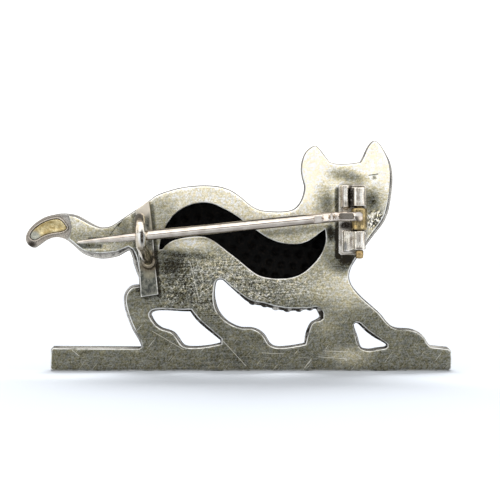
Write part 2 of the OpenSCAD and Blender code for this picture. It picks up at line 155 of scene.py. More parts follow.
class Finish:
    """The nodes of one material, or of the light around the brooch."""

    def __init__(self, name, owner=None):
        self.material = owner or bpy.data.materials.new(name)
        self.material.use_nodes = True
        self.tree = self.material.node_tree

    def feed(self, socket, value):
        """Links a value to a socket, or sets the socket to a plain number, vector or colour."""
        if isinstance(value, Value):
            self.tree.links.new(value.socket, socket)
        else:
            socket.default_value = value

    def node(self, kind, settings=None, inputs=None, out=0):
        """One node: its settings first, then its sockets, and one of its outputs."""
        made = self.tree.nodes.new(kind)
        for key, value in (settings or {}).items():
            if key == "stops":
                ramp = made.color_ramp.elements
                while len(ramp) < len(value):
                    ramp.new(0.5)
                for element, (place, colour) in zip(ramp, value):
                    element.position = place
                    element.color = colour
            else:
                setattr(made, key, value)
        for key, value in (inputs or {}).items():
            self.feed(made.inputs[key], value)
        return Value(self, made.outputs[out])

    def shade(self, **looks):
        """Sets the shader's sockets, named with _ for a space."""
        shader = self.tree.nodes["Principled BSDF"]
        for key, value in looks.items():
            self.feed(shader.inputs[key.replace("_", " ")], value)
        return self.material

    def place(self):
        """Where a point of the brooch lies, in mm."""
        return self.scaled(self.node("ShaderNodeTexCoord", out="Object"), 1 / MM)

    def scaled(self, vector, factor):
        """The vector times a number or a value."""
        return self.node(
            "ShaderNodeVectorMath", {"operation": "SCALE"}, {"Vector": vector, "Scale": factor}
        )

    def vector(self, operation, first, second, out=0):
        """Vector Math on two vectors."""
        return self.node("ShaderNodeVectorMath", {"operation": operation}, {0: first, 1: second}, out)

    def part(self, vector, axis):
        """X, Y or Z of a vector."""
        return self.node("ShaderNodeSeparateXYZ", {}, {0: vector}, axis)

    def mark(self, name):
        """What the piece's mesh says at each of its points, such as how near an edge is."""
        return self.node("ShaderNodeAttribute", {"attribute_name": name}, out="Fac")

    def turned(self, at, degrees, across, along):
        """The place turned in the plane of the plate and stretched, for marks with a direction."""
        turn = self.node(
            "ShaderNodeMapping",
            {"vector_type": "POINT"},
            {"Vector": at, "Rotation": (0, math.radians(degrees), 0)},
        )
        return self.vector("MULTIPLY", turn, (along, across, across))

    def noise(self, at, scale, detail=2.0, rough=0.5, lump=0.0):
        """Smooth noise round 0.5; scale is in waves for each mm."""
        return self.node(
            "ShaderNodeTexNoise",
            {"noise_dimensions": "3D"},
            {"Vector": at, "Scale": scale, "Detail": detail, "Roughness": rough, "Distortion": lump},
        )

    def step(self, value, low, high, start=0.0, end=1.0):
        """A smooth step from start at low to end at high."""
        return self.node(
            "ShaderNodeMapRange",
            {"interpolation_type": "SMOOTHSTEP"},
            {"Value": value, "From Min": low, "From Max": high, "To Min": start, "To Max": end},
        )

    def mix(self, share, first, second, how="MIX"):
        """The first colour, and a share of the second one laid over it."""
        settings = {"data_type": "RGBA", "blend_type": how}
        return self.node("ShaderNodeMix", settings, {0: share, 6: first, 7: second}, out=2)

    def oval(self, at, x, y, half_w, half_h, soft=0.9):
        """1 in an oval round a point of the photograph, fading to 0 at its edge."""
        middle = spot(x, y)
        away = self.vector("SUBTRACT", at, (middle[0], 0, middle[1]))
        shares = self.vector("MULTIPLY", away, (1 / (half_w * PIXEL_X), 0, 1 / (half_h * PIXEL_Z)))
        far = self.node("ShaderNodeVectorMath", {"operation": "LENGTH"}, {0: shares}, out="Value")
        return self.step(far, 1, 1 - soft)

    def line(self, at, start, end, half_w):
        """1 along a fine line between two points of the photograph; half_w is in mm."""
        a = spot(*start)
        run = spot(*end) - a
        length = math.hypot(*run)
        away = self.vector("SUBTRACT", at, (a[0], 0, a[1]))
        flat = self.vector("MULTIPLY", away, (1, 0, 1))
        towards = (run[0] / length**2, 0, run[1] / length**2)
        along = self.vector("DOT_PRODUCT", flat, towards, "Value")
        held = self.node("ShaderNodeClamp", {}, {"Value": along})
        foot = self.scaled((run[0], 0, run[1]), held)
        far = self.vector("DISTANCE", flat, foot, "Value")
        return self.step(far, half_w, half_w * 0.3)

    def shade_and_dirt_in_corners(self, reach, low=0.4, high=0.85):
        """1 in corners that metal within a reach in mm closes in, darkened there by grime and painted
        shade.
        """
        air = self.node(
            "ShaderNodeAmbientOcclusion", {"samples": 6}, {"Distance": reach * MM}, out="AO"
        )
        return self.step(air, high, low)

    def bump(self, height, depth, strength=1.0, under=None):
        """Relief of a depth in mm, over another relief."""
        inputs = {"Height": height, "Distance": depth * MM, "Strength": strength}
        if under:
            inputs["Normal"] = under
        return self.node("ShaderNodeBump", {}, inputs)


# Parts of the plate that are lighter or darker than their height gives them: the lighter ones and
# most darker ones are cleaner or more tarnished silver, and the dark ones round the hinge and below
# it are painted shade: middle, half width and half height in the photograph, and by how much
CLEAN_SPOTS = [
    (345, 290, 46, 34, 0.34),
    (302, 288, 34, 20, 0.14),
    (350, 356, 34, 16, 0.32),
    (325, 325, 22, 24, 0.18),
    (140, 318, 14, 16, 0.1),
    (306, 188, 18, 30, 0.14),
    (85, 222, 30, 14, 0.18),
    (100, 247, 34, 6, 0.2),
    (380, 165, 22, 26, 0.1),
    (312, 165, 22, 22, 0.1),
    (190, 244, 34, 8, 0.34),
    (96, 249.5, 24, 2, 0.3),
]
TARNISH_AND_SHADE_SPOTS = [
    (342, 174, 22, 11, 0.5),
    (357, 179, 17, 9, 0.45),
    (324, 200, 16, 26, 0.34),
    (329, 206, 10, 22, 0.3),
    (331, 234, 9, 13, 0.8),
    (376, 204, 20, 30, 0.36),
    (371, 200, 11, 17, 0.46),
    (374.3, 177.6, 3.8, 3.2, 0.7),
    (345, 264, 24, 16, 0.5),
    (326, 252, 18, 14, 0.2),
    (172, 264, 26, 16, 0.36),
    (124, 226, 10, 15, 0.25),
    (165, 208, 20, 24, 0.2),
    (68, 228, 5, 13, 0.5),
    (232, 358, 30, 16, 0.05),
    (185, 285, 40, 40, 0.1),
]
# Dark bands beside the soldered pieces and below the pin stem, partly tarnish and partly painted
# shadow, and fine dark lines: two ends, half width in mm, and how dark
TARNISH_AND_SHADOW_BANDS = [
    ((337.3, 190), (337.6, 256), 0.4, 0.7),
    ((152, 206), (159.5, 296), 0.3, 0.3),
    ((134, 214), (138, 290), 0.4, 0.25),
    ((344, 259), (357, 257.5), 0.7, 0.3),
    ((90, 240), (130, 239), 0.4, 0.4),
    ((262, 234), (330, 228), 0.5, 0.22),
    ((369, 175.2), (378, 173.8), 0.075, 0.8),
    ((74, 245.5), (100, 246.5), 0.4, 0.36),
    ((158, 252), (212, 257), 0.4, 0.22),
    ((206, 203), (231, 213.5), 0.07, 0.9),
    ((116, 214), (108, 228), 0.08, 0.4),
    ((131, 208), (118, 226), 0.09, 0.4),
    ((124, 216), (110, 235), 0.07, 0.35),
]
# Long scribed lines and deeper scratches: two ends in the photograph, half width in mm
SCRIBED = [
    ((305, 183), (339, 184), 0.05),
    ((190, 262), (199, 300), 0.035),
    ((196, 258), (203, 280), 0.03),
    ((152, 331), (184, 350), 0.03),
    ((223, 341), (246, 366), 0.035),
    ((250, 291), (270, 301), 0.03),
    ((271, 281), (325, 296), 0.03),
    ((318, 357), (348, 359), 0.03),
    ((370, 167), (385, 163), 0.03),
    ((372, 190), (386, 193), 0.03),
    ((379, 173.5), (376.5, 181), 0.06),
    ((209, 203), (236, 217), 0.06),
    ((325, 351), (348, 352), 0.03),
    ((262, 353), (284, 354), 0.03),
    ((205, 268), (219, 268), 0.03),
    ((72, 350), (79, 356), 0.035),
]
# Tones of the sheet from black to bright silver, which carry its tarnish and painted light and shade,
# and where each stands on the scale
SHEET_TONES = [
    (0.0, (0.024, 0.021, 0.016, 1)),
    (0.25, (0.155, 0.155, 0.128, 1)),
    (0.5, (0.33, 0.318, 0.255, 1)),
    (0.75, (0.66, 0.62, 0.505, 1)),
    (1.0, (1, 0.965, 0.9, 1)),
]
# Tints that change over the sheet, its scratches, its worn edge with a painted highlight, and the
# dirt and painted shade in its corners
WARM_TINT = (1, 0.94, 0.74, 1)
COLD_TINT = (0.93, 0.95, 1, 1)
SCRATCHED = (0.92, 0.89, 0.78, 1)
RUBBED_EDGE_AND_HIGHLIGHT = (0.95, 0.94, 0.9, 1)
SHEET_DIRT_AND_SHADE = (0.03, 0.025, 0.018, 1)
# The coarsely mottled belly and the part of the tail whose edge is left without wear and painted
# highlight: middle, half width and half height in the photograph, and softness
COARSE_BELLY = (230, 284, 112, 44, 0.7)
PLAIN_EDGE_TAIL = (67, 228, 7, 13, 0.4)


def sheet_tone_with_painted_light(f, at, cloud):
    """Tone of the sheet: painted lighter towards the head as by light from above, uneven with the
    cloud, and with spots and bands of its own, partly tarnish and partly painted shade.
    """
    across = f.part(at, "X")
    height = f.part(at, "Z")
    upper = f.step(height, 4, 9)
    # Painted light from above: the sheet grows lighter towards the head, and near the top to the right
    clean = f.step(height + across * upper * 0.14 + cloud * 4 - 2, 5, 23) * 0.74 + 0.27
    for x, y, w, h, share in CLEAN_SPOTS:
        clean = clean + f.oval(at, x, y, w, h) * share
    # Darker spots and bands: tarnish, with painted shade round the hinge and a painted shadow under the
    # pin stem
    for x, y, w, h, share in TARNISH_AND_SHADE_SPOTS:
        clean = clean - f.oval(at, x, y, w, h) * share
    for start, end, half_w, share in TARNISH_AND_SHADOW_BANDS:
        clean = clean - f.line(at, start, end, half_w) * share
    return clean


def scratch_marks(f, at):
    """1 on fine scratches in two directions and on the long scribed lines."""
    steep = f.noise(f.turned(at, 52, across=16, along=0.35), 1)
    level = f.noise(f.turned(at, -4, across=18, along=0.3), 1)
    marks = f.step(steep, 0.68, 0.76) + f.step(level, 0.68, 0.78)
    for start, end, half_w in SCRIBED:
        marks = marks + f.line(at, start, end, half_w)
    return marks


def sheet_silver():
    """Old silver sheet: brushed and scratched, cream where it is clean, green-grey where it isn't, and
    painted lighter towards the head.
    """
    f = Finish("sheet_silver")
    at = f.place()
    cloud = f.noise(at, 0.35, detail=4, rough=0.6, lump=0.4)
    speckle = f.noise(at, 6, detail=3, rough=0.85)
    streaks = f.noise(f.turned(at, 38, across=9, along=0.9), 1, detail=3, rough=0.7)
    level = f.noise(f.turned(at, 2, across=7, along=0.5), 1, detail=3, rough=0.7)
    mottle = f.noise(at, 1.5, detail=3, rough=0.6, lump=0.5)
    grain = speckle * 0.56 + streaks * 0.2 + level * 0.24
    coarse = f.oval(at, *COARSE_BELLY)
    tone = sheet_tone_with_painted_light(f, at, cloud) + (grain - 0.5) * (coarse * 2.7 + 1.8) + (mottle - 0.5) * 0.12
    # Painted glints on the mottled belly, and dark specks beside them
    glints = f.noise(at, 4.2, rough=0.9)
    tone = tone + f.step(glints, 0.6, 0.68) * (coarse * 0.75 + 0.12)
    tone = tone - f.step(glints, 0.4, 0.32) * (coarse * 0.4 + 0.1)
    filing = f.noise(f.turned(at, 62, across=4.6, along=1.1), 1, rough=0.6, lump=1.2)
    tone = tone + (f.step(filing, 0.42, 0.58) - 0.66) * f.oval(at, *FILED, *FILED_PX, 0.5) * 0.95
    colour = f.node("ShaderNodeValToRGB", {"stops": SHEET_TONES}, {0: tone})
    warmth = f.step(f.noise(at, 3, detail=3, rough=0.8), 0.4, 0.6)
    colour = f.mix(1.0, colour, f.mix(warmth, WARM_TINT, COLD_TINT), "MULTIPLY")
    scratches = scratch_marks(f, at)
    colour = f.mix(f.step(scratches, 0, 1, 0, 0.6), colour, SCRATCHED)
    # Worn edges, lightened by wear and by a painted highlight
    worn_and_highlit = f.step(f.mark("edge"), 0.14, 0.04, 0, 0.9) * f.step(cloud + mottle * 0.6, 0.56, 0.9)
    colour = f.mix(worn_and_highlit * (1 - f.oval(at, *PLAIN_EDGE_TAIL)), colour, RUBBED_EDGE_AND_HIGHLIGHT)
    # Dirt and painted shade in corners that metal closes in, away from the floor
    above_foot = f.step(f.part(at, "Z"), 0.2, 1.4)
    dirt_and_shade = f.shade_and_dirt_in_corners(0.8) * above_foot * f.step(speckle, 0.2, 0.6, 0.6, 0.95)
    colour = f.mix(dirt_and_shade, colour, SHEET_DIRT_AND_SHADE)
    relief = f.bump(scratches, -0.02, 0.7, under=f.bump(grain, 0.02, 0.5))
    return f.shade(
        Base_Color=colour,
        Metallic=1.0,
        Roughness=f.step(grain, 0.35, 0.7, 0.38, 0.5),
        Normal=relief,
    )


# Parts of the casting's rim kept light, without its patina and painted shade: middle, half width and
# half height
KEPT_LIGHT = [
    (343, 160, 26, 9),
    (254, 202, 32, 16),
    (96, 345, 56, 6),
    (425, 341, 36, 12),
]
# The tail, its bare casting round the pocket, and its black tip: the same, with softness
TAIL = (70, 236, 66, 26, 0.4)
BARE_TAIL = (44, 230, 30, 22, 0.3)
BLACK_TIP = (30.5, 244.5, 7.5, 5.5, 0.8)
# Colours of the casting: pale and dull, its tarnish with painted shade, its dirt with painted shade,
# the bare tail and the black tip
CAST_PALE = (0.74, 0.71, 0.66, 1)
CAST_DULL = (0.5, 0.47, 0.41, 1)
CAST_TARNISH_AND_SHADE = (0.045, 0.04, 0.034, 1)
CAST_DIRT_AND_SHADE = (0.025, 0.02, 0.016, 1)
TAIL_PALE = (0.50, 0.43, 0.35, 1)
TAIL_BROWN = (0.26, 0.21, 0.16, 1)
TIP_BLACK = (0.05, 0.042, 0.034, 1)


def cast_silver(name, dirt_and_shade):
    """Cast silver: polished on its high parts, with dark patina in its hollows, and painted shade along
    its rim and on the shaded walls of its openings.
    """
    f = Finish(name)
    at = f.place()
    fine = f.noise(at, 7, detail=3, rough=0.7)
    cloud = f.noise(at, 0.5, detail=3, rough=0.6)
    broken = f.step(f.noise(at, 0.9, detail=3, rough=0.7), 0.34, 0.6, 0.25, 1.1)
    tail = f.oval(at, *TAIL)
    darkening = 1
    for x, y, w, h in KEPT_LIGHT:
        darkening = darkening * (1 - f.oval(at, x, y, w, h, 0.5) * 0.9)
    # Dark patina in the hollows, and painted shade along the rim and on shaded walls, as the mesh marks
    # them
    dark = f.step(f.mark("recess") * broken + fine * 0.3 + cloud * 0.2 - 0.25, 0.12, 0.8)
    dark = dark * (1 - tail * 0.75) * darkening
    colour = f.mix(cloud, CAST_PALE, CAST_DULL)
    colour = f.mix(dark, colour, CAST_TARNISH_AND_SHADE)
    colour = f.mix(f.oval(at, *BARE_TAIL) * 0.7, colour, f.mix(cloud, TAIL_PALE, TAIL_BROWN))
    colour = f.mix(f.oval(at, *BLACK_TIP), colour, TIP_BLACK)
    # Dirt and painted shade in the corners
    colour = f.mix(f.shade_and_dirt_in_corners(0.5) * (1 - tail * 0.5) * darkening * dirt_and_shade, colour, CAST_DIRT_AND_SHADE)
    return f.shade(
        Base_Color=colour,
        Metallic=1.0,
        Roughness=f.step(fine, 0.3, 0.8, 0.22, 0.42),
        Normal=f.bump(fine, 0.015, 0.5),
    )


def black_and_shaded_inside():
    """The inside of the casting: blackened, and darker still as painted shade."""
    f = Finish("black_and_shaded_inside")
    grit = f.noise(f.place(), 3.5, detail=4, rough=0.7)
    colour = f.mix(f.step(grit, 0.45, 0.8), (0.001, 0.001, 0.001, 1), (0.012, 0.008, 0.005, 1))
    return f.shade(
        Base_Color=colour,
        Metallic=0.0,
        Roughness=0.65,
        Specular_IOR_Level=0.09,
        Normal=f.bump(grit, 0.05, 0.6),
    )


def cut_stone():
    """A dark, steely cut stone."""
    f = Finish("cut_stone")
    cloud = f.noise(f.place(), 1.1)
    colour = f.mix(cloud, (0.05, 0.052, 0.06, 1), (0.2, 0.195, 0.19, 1))
    return f.shade(Base_Color=colour, Metallic=0.85, Roughness=0.06)


# The filling of the tail: its hollow and its grey end, with middle, half width and half height in
# the photograph and softness, and its colours
FILLING_HOLLOW = (50, 222, 5, 2.5, 0.9)
FILLING_END = (33, 237, 9, 8, 0.5)
SOLDER_BROWN = (0.34, 0.25, 0.10, 1)
SOLDER_PALE = (0.70, 0.60, 0.35, 1)
SOLDER_SHADED = (0.26, 0.19, 0.07, 1)
SOLDER_GREY = (0.36, 0.36, 0.30, 1)
SOLDER_PITS = (0.16, 0.12, 0.05, 1)


def pale_solder():
    """The pale yellow metal in the tail: pitted, grey towards its end."""
    f = Finish("pale_solder")
    at = f.place()
    lumps = f.noise(at, 1.3, detail=4, rough=0.65, lump=0.6)
    pits = f.noise(at, 5, detail=3, rough=0.7)
    colour = f.mix(f.step(lumps, 0.36, 0.66), SOLDER_BROWN, SOLDER_PALE)
    colour = f.mix(f.oval(at, *FILLING_HOLLOW), colour, SOLDER_SHADED)
    colour = f.mix(f.oval(at, *FILLING_END), colour, SOLDER_GREY)
    colour = f.mix(f.step(pits, 0.62, 0.78, 0, 0.5), colour, SOLDER_PITS)
    relief = f.bump(pits, -0.05, 0.7, under=f.bump(lumps, 0.12, 0.6))
    return f.shade(Base_Color=colour, Metallic=0.85, Roughness=0.42, Normal=relief)


# Level between the catch's strip and its hook, in front of the plate, and where the blend of the
# two colours begins and ends
DEEP_Y = BACK_Y - 1.1
DEEP_BLEND = (DEEP_Y - 0.25, DEEP_Y + 0.15)
# Colours of worn edges with their painted highlight, of dirt and painted shade in corners, and of
# the painted shade on the sides of a wire
EDGE_SHINE = (0.97, 0.95, 0.9, 1)
CORNER_DIRT_AND_SHADE = (0.03, 0.024, 0.016, 1)
WIRE_SIDE_SHADE = (0.16, 0.12, 0.09, 1)


def worn_metal(name, clean, dull, rough, marks=0.5, dirt_and_shade=0.8, reach=0.6, deep=None, patches=(), axis=()):
    """Metal of the findings: rubbed edges with a painted highlight, fine wear, dull patches, and
    corners darkened by grime and painted shade.

    clean and dull are colours and rough the roughness from and to. marks is the strength of the
    fine marks; the argument after it is how dark the corners are, with grime and painted shade, and
    reach how wide, in mm. deep has the two colours of what lies behind DEEP_Y. The rows of patches
    are as in the catch's table: painted highlights, painted reflections and painted shade, and some
    staining. axis has the stretches of a wire, with painted shade on its sides and lighter along its
    middle."""
    f = Finish(name)
    at = f.place()
    cloud = f.noise(at, 0.9, detail=4, rough=0.6, lump=0.3)
    if axis:
        fine = f.noise(f.turned(at, 5.6, across=8, along=0.8), 1, detail=3, rough=0.7)
    else:
        fine = f.noise(at, 5, detail=3, rough=0.7)
    colour = f.mix(f.step(cloud * 0.7 + fine * 0.3, 0.4, 0.62), clean, dull)
    roughness = f.step(fine, 0.3, 0.7, *rough)
    if deep:
        sunk = f.step(f.part(at, "Y"), *DEEP_BLEND)
        grit = f.noise(at, 2.4, detail=4, rough=0.75, lump=0.3)
        floor = f.mix(f.step(grit, 0.36, 0.64), *deep)
        floor = f.mix(f.step(fine, 0.6, 0.72, 0, 0.6), floor, clean)
        colour = f.mix(sunk, colour, floor)
        roughness = roughness + sunk * 0.28
    # Painted highlight on the worn edges, left out under the listed patches
    shine = f.step(f.mark("edge"), 0.2, 0.8, 0, 0.8)
    for x, y, w, h, *_ in patches:
        shine = shine * (1 - f.oval(at, x, y, w, h, 0.6))
    colour = f.mix(shine, colour, EDGE_SHINE)
    # Dirt and painted shade in the corners
    colour = f.mix(f.shade_and_dirt_in_corners(reach) * dirt_and_shade, colour, CORNER_DIRT_AND_SHADE)
    # The listed patches: painted highlights, painted reflections and painted shade, and some stains
    for x, y, w, h, strength, patch_colour in patches:
        near = f.oval(at, x, y, w, h, 0.6) * strength
        colour = f.mix(near, colour, f.mix(f.step(fine, 0.5, 0.75, 0, 0.4), patch_colour, clean))
    # Painted shade on the sides of a wire, lighter along its middle
    if axis:
        lines = sum(f.line(at, start, end, STEM_R) for start, end in axis)
        middle = f.node("ShaderNodeClamp", {}, {"Value": lines})
        colour = f.mix((1 - middle) ** 2.2 * 0.65, colour, WIRE_SIDE_SHADE)
    return f.shade(
        Base_Color=colour,
        Metallic=1.0,
        Roughness=roughness,
        Normal=f.bump(fine, 0.01, marks),
    )


# Patches of the catch, hinge and knuckle, mostly painted highlights, painted reflections and painted
# shade, some of them stains: middle, half width and half height in the photograph, strength and colour
CATCH_LIGHT_AND_STAINS = [
    (149.5, 257, 8, 9, 0.6, (0.30, 0.24, 0.14, 1)),
    (154.3, 256, 3.2, 9, 0.85, (0.05, 0.04, 0.03, 1)),
    (144.4, 258, 2, 6, 0.8, (0.07, 0.055, 0.04, 1)),
    (149.5, 256, 2, 7, 0.8, (0.80, 0.70, 0.50, 1)),
    (149, 266, 13, 9, 0.8, (0.13, 0.10, 0.06, 1)),
    (148.5, 264.5, 4, 1.8, 0.7, (0.72, 0.62, 0.42, 1)),
    (150, 275, 8, 5, 0.5, (0.30, 0.27, 0.18, 1)),
    (152, 290.5, 8, 3, 0.6, (0.07, 0.07, 0.065, 1)),
    (144, 207.5, 13, 13, 0.8, (0.84, 0.75, 0.62, 1)),
    (152, 222, 3.5, 14, 0.6, (0.52, 0.47, 0.36, 1)),
    (144.2, 236, 5, 13, 0.95, (0.98, 0.96, 0.90, 1)),
    (144.4, 237, 2.6, 11, 1, (0.05, 0.037, 0.028, 1)),
    (142.4, 220.5, 4, 3.4, 0.8, (0.10, 0.075, 0.05, 1)),
    (142.4, 224, 2.6, 2, 0.9, (0.98, 0.95, 0.88, 1)),
]
HINGE_LIGHT_AND_STAINS = [
    (345, 195, 3.2, 11, 0.85, (0.99, 0.96, 0.88, 1)),
    (345.8, 204, 2.6, 3, 0.7, (0.35, 0.33, 0.29, 1)),
    (354, 197, 1.3, 10, 0.9, (0.99, 0.96, 0.90, 1)),
    (360.4, 197, 1, 10, 0.85, (0.99, 0.96, 0.90, 1)),
    (357.2, 197, 1.6, 8, 0.8, (0.30, 0.26, 0.21, 1)),
    (363, 197, 1.2, 8, 0.8, (0.26, 0.22, 0.18, 1)),
    (350.2, 196, 3.6, 17, 1, (0.035, 0.027, 0.02, 1)),
    (341.9, 205, 1, 22, 0.7, (0.16, 0.12, 0.09, 1)),
    (345.5, 225.2, 9, 6, 1, (0.02, 0.014, 0.01, 1)),
    (346, 208.5, 5, 3.5, 0.6, (0.30, 0.21, 0.11, 1)),
    (342.8, 240, 1.2, 12, 0.9, (0.99, 0.96, 0.90, 1)),
    (347, 238, 2.4, 8, 0.6, (0.95, 0.90, 0.76, 1)),
    (353, 240, 1.4, 11, 0.9, (0.99, 0.96, 0.90, 1)),
    (360.8, 239, 1.4, 9, 0.95, (0.99, 0.97, 0.92, 1)),
    (350.3, 241, 1.1, 10, 0.75, (0.36, 0.28, 0.21, 1)),
    (357.4, 239, 1.6, 8, 0.75, (0.34, 0.31, 0.27, 1)),
    (344.6, 246.5, 2.6, 7, 0.8, (0.13, 0.135, 0.14, 1)),
    (358, 248.5, 5, 1.6, 0.8, (0.12, 0.09, 0.07, 1)),
    (347.5, 255.5, 8, 2.2, 0.85, (0.12, 0.09, 0.065, 1)),
]
KNUCKLE_LIGHT_AND_SHADE = [
    (354.5, 227, 2.4, 2.4, 0.8, (0.72, 0.50, 0.20, 1)),
    (361, 227, 2.2, 2.6, 0.8, (0.78, 0.60, 0.30, 1)),
    (357.5, 228, 1.6, 2, 0.6, (0.20, 0.15, 0.07, 1)),
]


# Light

# Light of the tent from the side, what is added overhead, what comes from behind the brooch,
# and how bright its paper looks to the camera
TENT_SIDE = 0.72
TENT_TOP = 0.8
TENT_BEHIND = 0.2
PAPER_SEEN = 1.3
# Direction, half angles of the inner part and of the whole, and the share of light left there:
# the camera, the panel above it, dark gaps beside it, bright panels at both sides, the opening
# overhead and the table in front
PANELS = [
    ((0, -1, -0.06), 9, 24, 0.22),
    ((0, -0.87, 0.49), 5, 13, 1.6),
    ((0.62, -0.78, -0.05), 5, 14, 0.2),
    ((-0.7, -0.7, 0.05), 6, 16, 0.2),
    ((0.97, -0.2, 0.0), 10, 26, 1.7),
    ((-0.98, -0.1, 0.15), 8, 24, 1.5),
    ((0, 0.3, 1), 10, 30, 0.65),
    ((0.1, -0.6, -0.8), 8, 26, 0.6),
]
# A soft light from behind, which only the floor shows: strength, width in degrees and direction
SKYLIGHT = 8.8
SKYLIGHT_WIDTH = 40
SKYLIGHT_FROM = (0, 1, 0.53)


def make_tent():
    """A bright tent over and before the brooch, dark behind it and where the camera stands."""
    world = bpy.data.worlds.new("tent")
    bpy.context.scene.world = world
    f = Finish("tent", world)
    direction = f.node("ShaderNodeTexCoord", out="Generated")
    overhead = f.step(f.part(direction, "Z"), -0.1, 0.5)
    before = f.step(f.part(direction, "Y"), 0.35, -0.3)
    light = before * (overhead * TENT_TOP + TENT_SIDE) + TENT_BEHIND
    for towards, inner, outer, level in PANELS:
        near = f.vector("DOT_PRODUCT", direction, Vector(towards).normalized(), "Value")
        low = math.cos(math.radians(outer))
        high = math.cos(math.radians(inner))
        light = light * f.step(near, low, high, 1, level)
    tent = f.node("ShaderNodeBackground", {}, {"Color": (1, 1, 1, 1), "Strength": light})
    seen = f.node("ShaderNodeBackground", {}, {"Color": (1, 1, 1, 1), "Strength": PAPER_SEEN})
    camera_ray = f.node("ShaderNodeLightPath", out="Is Camera Ray")
    both = f.node("ShaderNodeMixShader", {}, {0: camera_ray, 1: tent, 2: seen})
    f.feed(f.tree.nodes["World Output"].inputs["Surface"], both)
    bpy.context.scene.view_settings.view_transform = "Standard"


def make_skylight():
    """The soft light from behind."""
    data = bpy.data.lights.new("skylight", "SUN")
    data.energy = SKYLIGHT
    data.angle = math.radians(SKYLIGHT_WIDTH)
    lamp = bpy.data.objects.new("skylight", data)
    bpy.context.scene.collection.objects.link(lamp)
    lamp.rotation_euler = (-Vector(SKYLIGHT_FROM)).to_track_quat("-Z", "Y").to_euler()
    lamp.visible_glossy = False


# Outlines


def area(loop):
    """Area of an outline, above 0 if it runs anticlockwise."""
    x, z = loop[:, 0], loop[:, 1]
    return 0.5 * float(np.dot(x, np.roll(z, -1)) - np.dot(z, np.roll(x, -1)))


# Tolerance in mm when a corner's depth is compared
SAME_DEPTH = 0.004


def flat_outlines(node, depth):
    """Closed outlines, largest first, of the flat faces that a CAD node has at a depth."""
    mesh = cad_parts[node].data
    points = np.array([v.co for v in mesh.vertices]) / MM
    level = np.abs(points[:, 1] - depth) < SAME_DEPTH
    keys = [tuple(p) for p in points[:, (0, 2)].round(3)]
    steps = []
    for face in mesh.polygons:
        ids = list(face.vertices)
        if all(level[i] for i in ids):
            steps += [(keys[a], keys[b]) for a, b in zip(ids, ids[1:] + ids[:1])]
    known = set(steps)
    follow = {a: b for a, b in steps if (b, a) not in known and a != b}
    loops = []
    while follow:
        start = next(iter(follow))
        loop = [start]
        point = follow.pop(start)
        while point != start:
            loop.append(point)
            point = follow.pop(point)
        loops.append(np.array(loop))
    return sorted(loops, key=lambda found: -abs(area(found)))


def wound(loops):
    """The same outlines, wound so that the metal lies on the left: the first is the outer one."""
    turned = []
    for i, loop in enumerate(loops):
        anticlockwise = area(loop) > 0
        turned.append(loop if anticlockwise == (i == 0) else loop[::-1])
    return turned


def refined(loop, step, corner=32):
    """The outline as a smooth curve between its corners, in steps of about a length in mm.

    A corner turns by more than an angle in degrees."""
    before = loop - np.roll(loop, 1, 0)
    after = np.roll(loop, -1, 0) - loop
    turn = np.arctan2(
        before[:, 0] * after[:, 1] - before[:, 1] * after[:, 0], (before * after).sum(1)
    )
    sharp = np.abs(turn) > math.radians(corner)
    n = len(loop)
    out = []
    for i in range(n):
        j = (i + 1) % n
        b, c = loop[i], loop[j]
        a = 2 * b - c if sharp[i] else loop[i - 1]
        d = 2 * c - b if sharp[j] else loop[(i + 2) % n]
        count = max(1, round(float(np.linalg.norm(c - b)) / step))
        for t in np.arange(count) / count:
            bend = 2 * a - 5 * b + 4 * c - d + t * (3 * b - a - 3 * c + d)
            out.append(b + 0.5 * t * (c - a + t * bend))
    return rounded(np.clip(np.array(out), loop.min(0), loop.max(0)))


# Where the bar's ends begin and its top lies, and how round its corners are
BAR_END = FRONT_HIGH[0] - 1.6
BAR_TOP = 3.2
BAR_ROUND = 0.46


def rounded(points):
    """The outline with the square corners at the bar's ends rounded off."""
    points = points.copy()
    for side in (-1, 1):
        end = (points[:, 0] * side).max()
        if end < BAR_END:
            continue
        tip = points[points[:, 0] * side > end - BAR_ROUND]
        for up, level in ((-1, tip[:, 1].min()), (1, tip[:, 1].max())):
            centre = np.array([side * (end - BAR_ROUND), level - up * BAR_ROUND])
            away = points - centre
            far = np.linalg.norm(away, axis=1)
            near = (away[:, 0] * side > 0) & (away[:, 1] * up > 0) & (far > BAR_ROUND)
            near &= points[:, 1] < BAR_TOP
            points[near] = centre + away[near] * (BAR_ROUND / far[near])[:, None]
    return points


def moved(loop, distance):
    """The outline moved to its left, which is into the metal."""
    before = loop - np.roll(loop, 1, 0)
    after = np.roll(loop, -1, 0) - loop
    before = before / np.linalg.norm(before, axis=1)[:, None]
    after = after / np.linalg.norm(after, axis=1)[:, None]
    middle = before + after
    middle = middle / np.maximum(np.linalg.norm(middle, axis=1), 1e-6)[:, None]
    spread = np.clip((middle * before).sum(1), 0.5, 1)
    side = np.column_stack([-middle[:, 1], middle[:, 0]])
    return loop + side * (distance / spread)[:, None]


# Points that are tested at one go, which keeps the tables small
BATCH = 2000


def inside(loops, points):
    """Which points lie in the metal between an outline and its holes."""
    a = np.vstack(loops)
    b = np.vstack([np.roll(loop, -1, 0) for loop in loops])
    rise = np.where(a[:, 1] == b[:, 1], 1, b[:, 1] - a[:, 1])
    found = []
    for some in np.array_split(points, len(points) // BATCH + 1):
        x, z = some[:, :1], some[:, 1:]
        crosses = (a[:, 1] > z) != (b[:, 1] > z)
        at = a[:, 0] + (z - a[:, 1]) * (b[:, 0] - a[:, 0]) / rise
        found.append((crosses & (x < at)).sum(1) % 2 == 1)
    return np.concatenate(found)


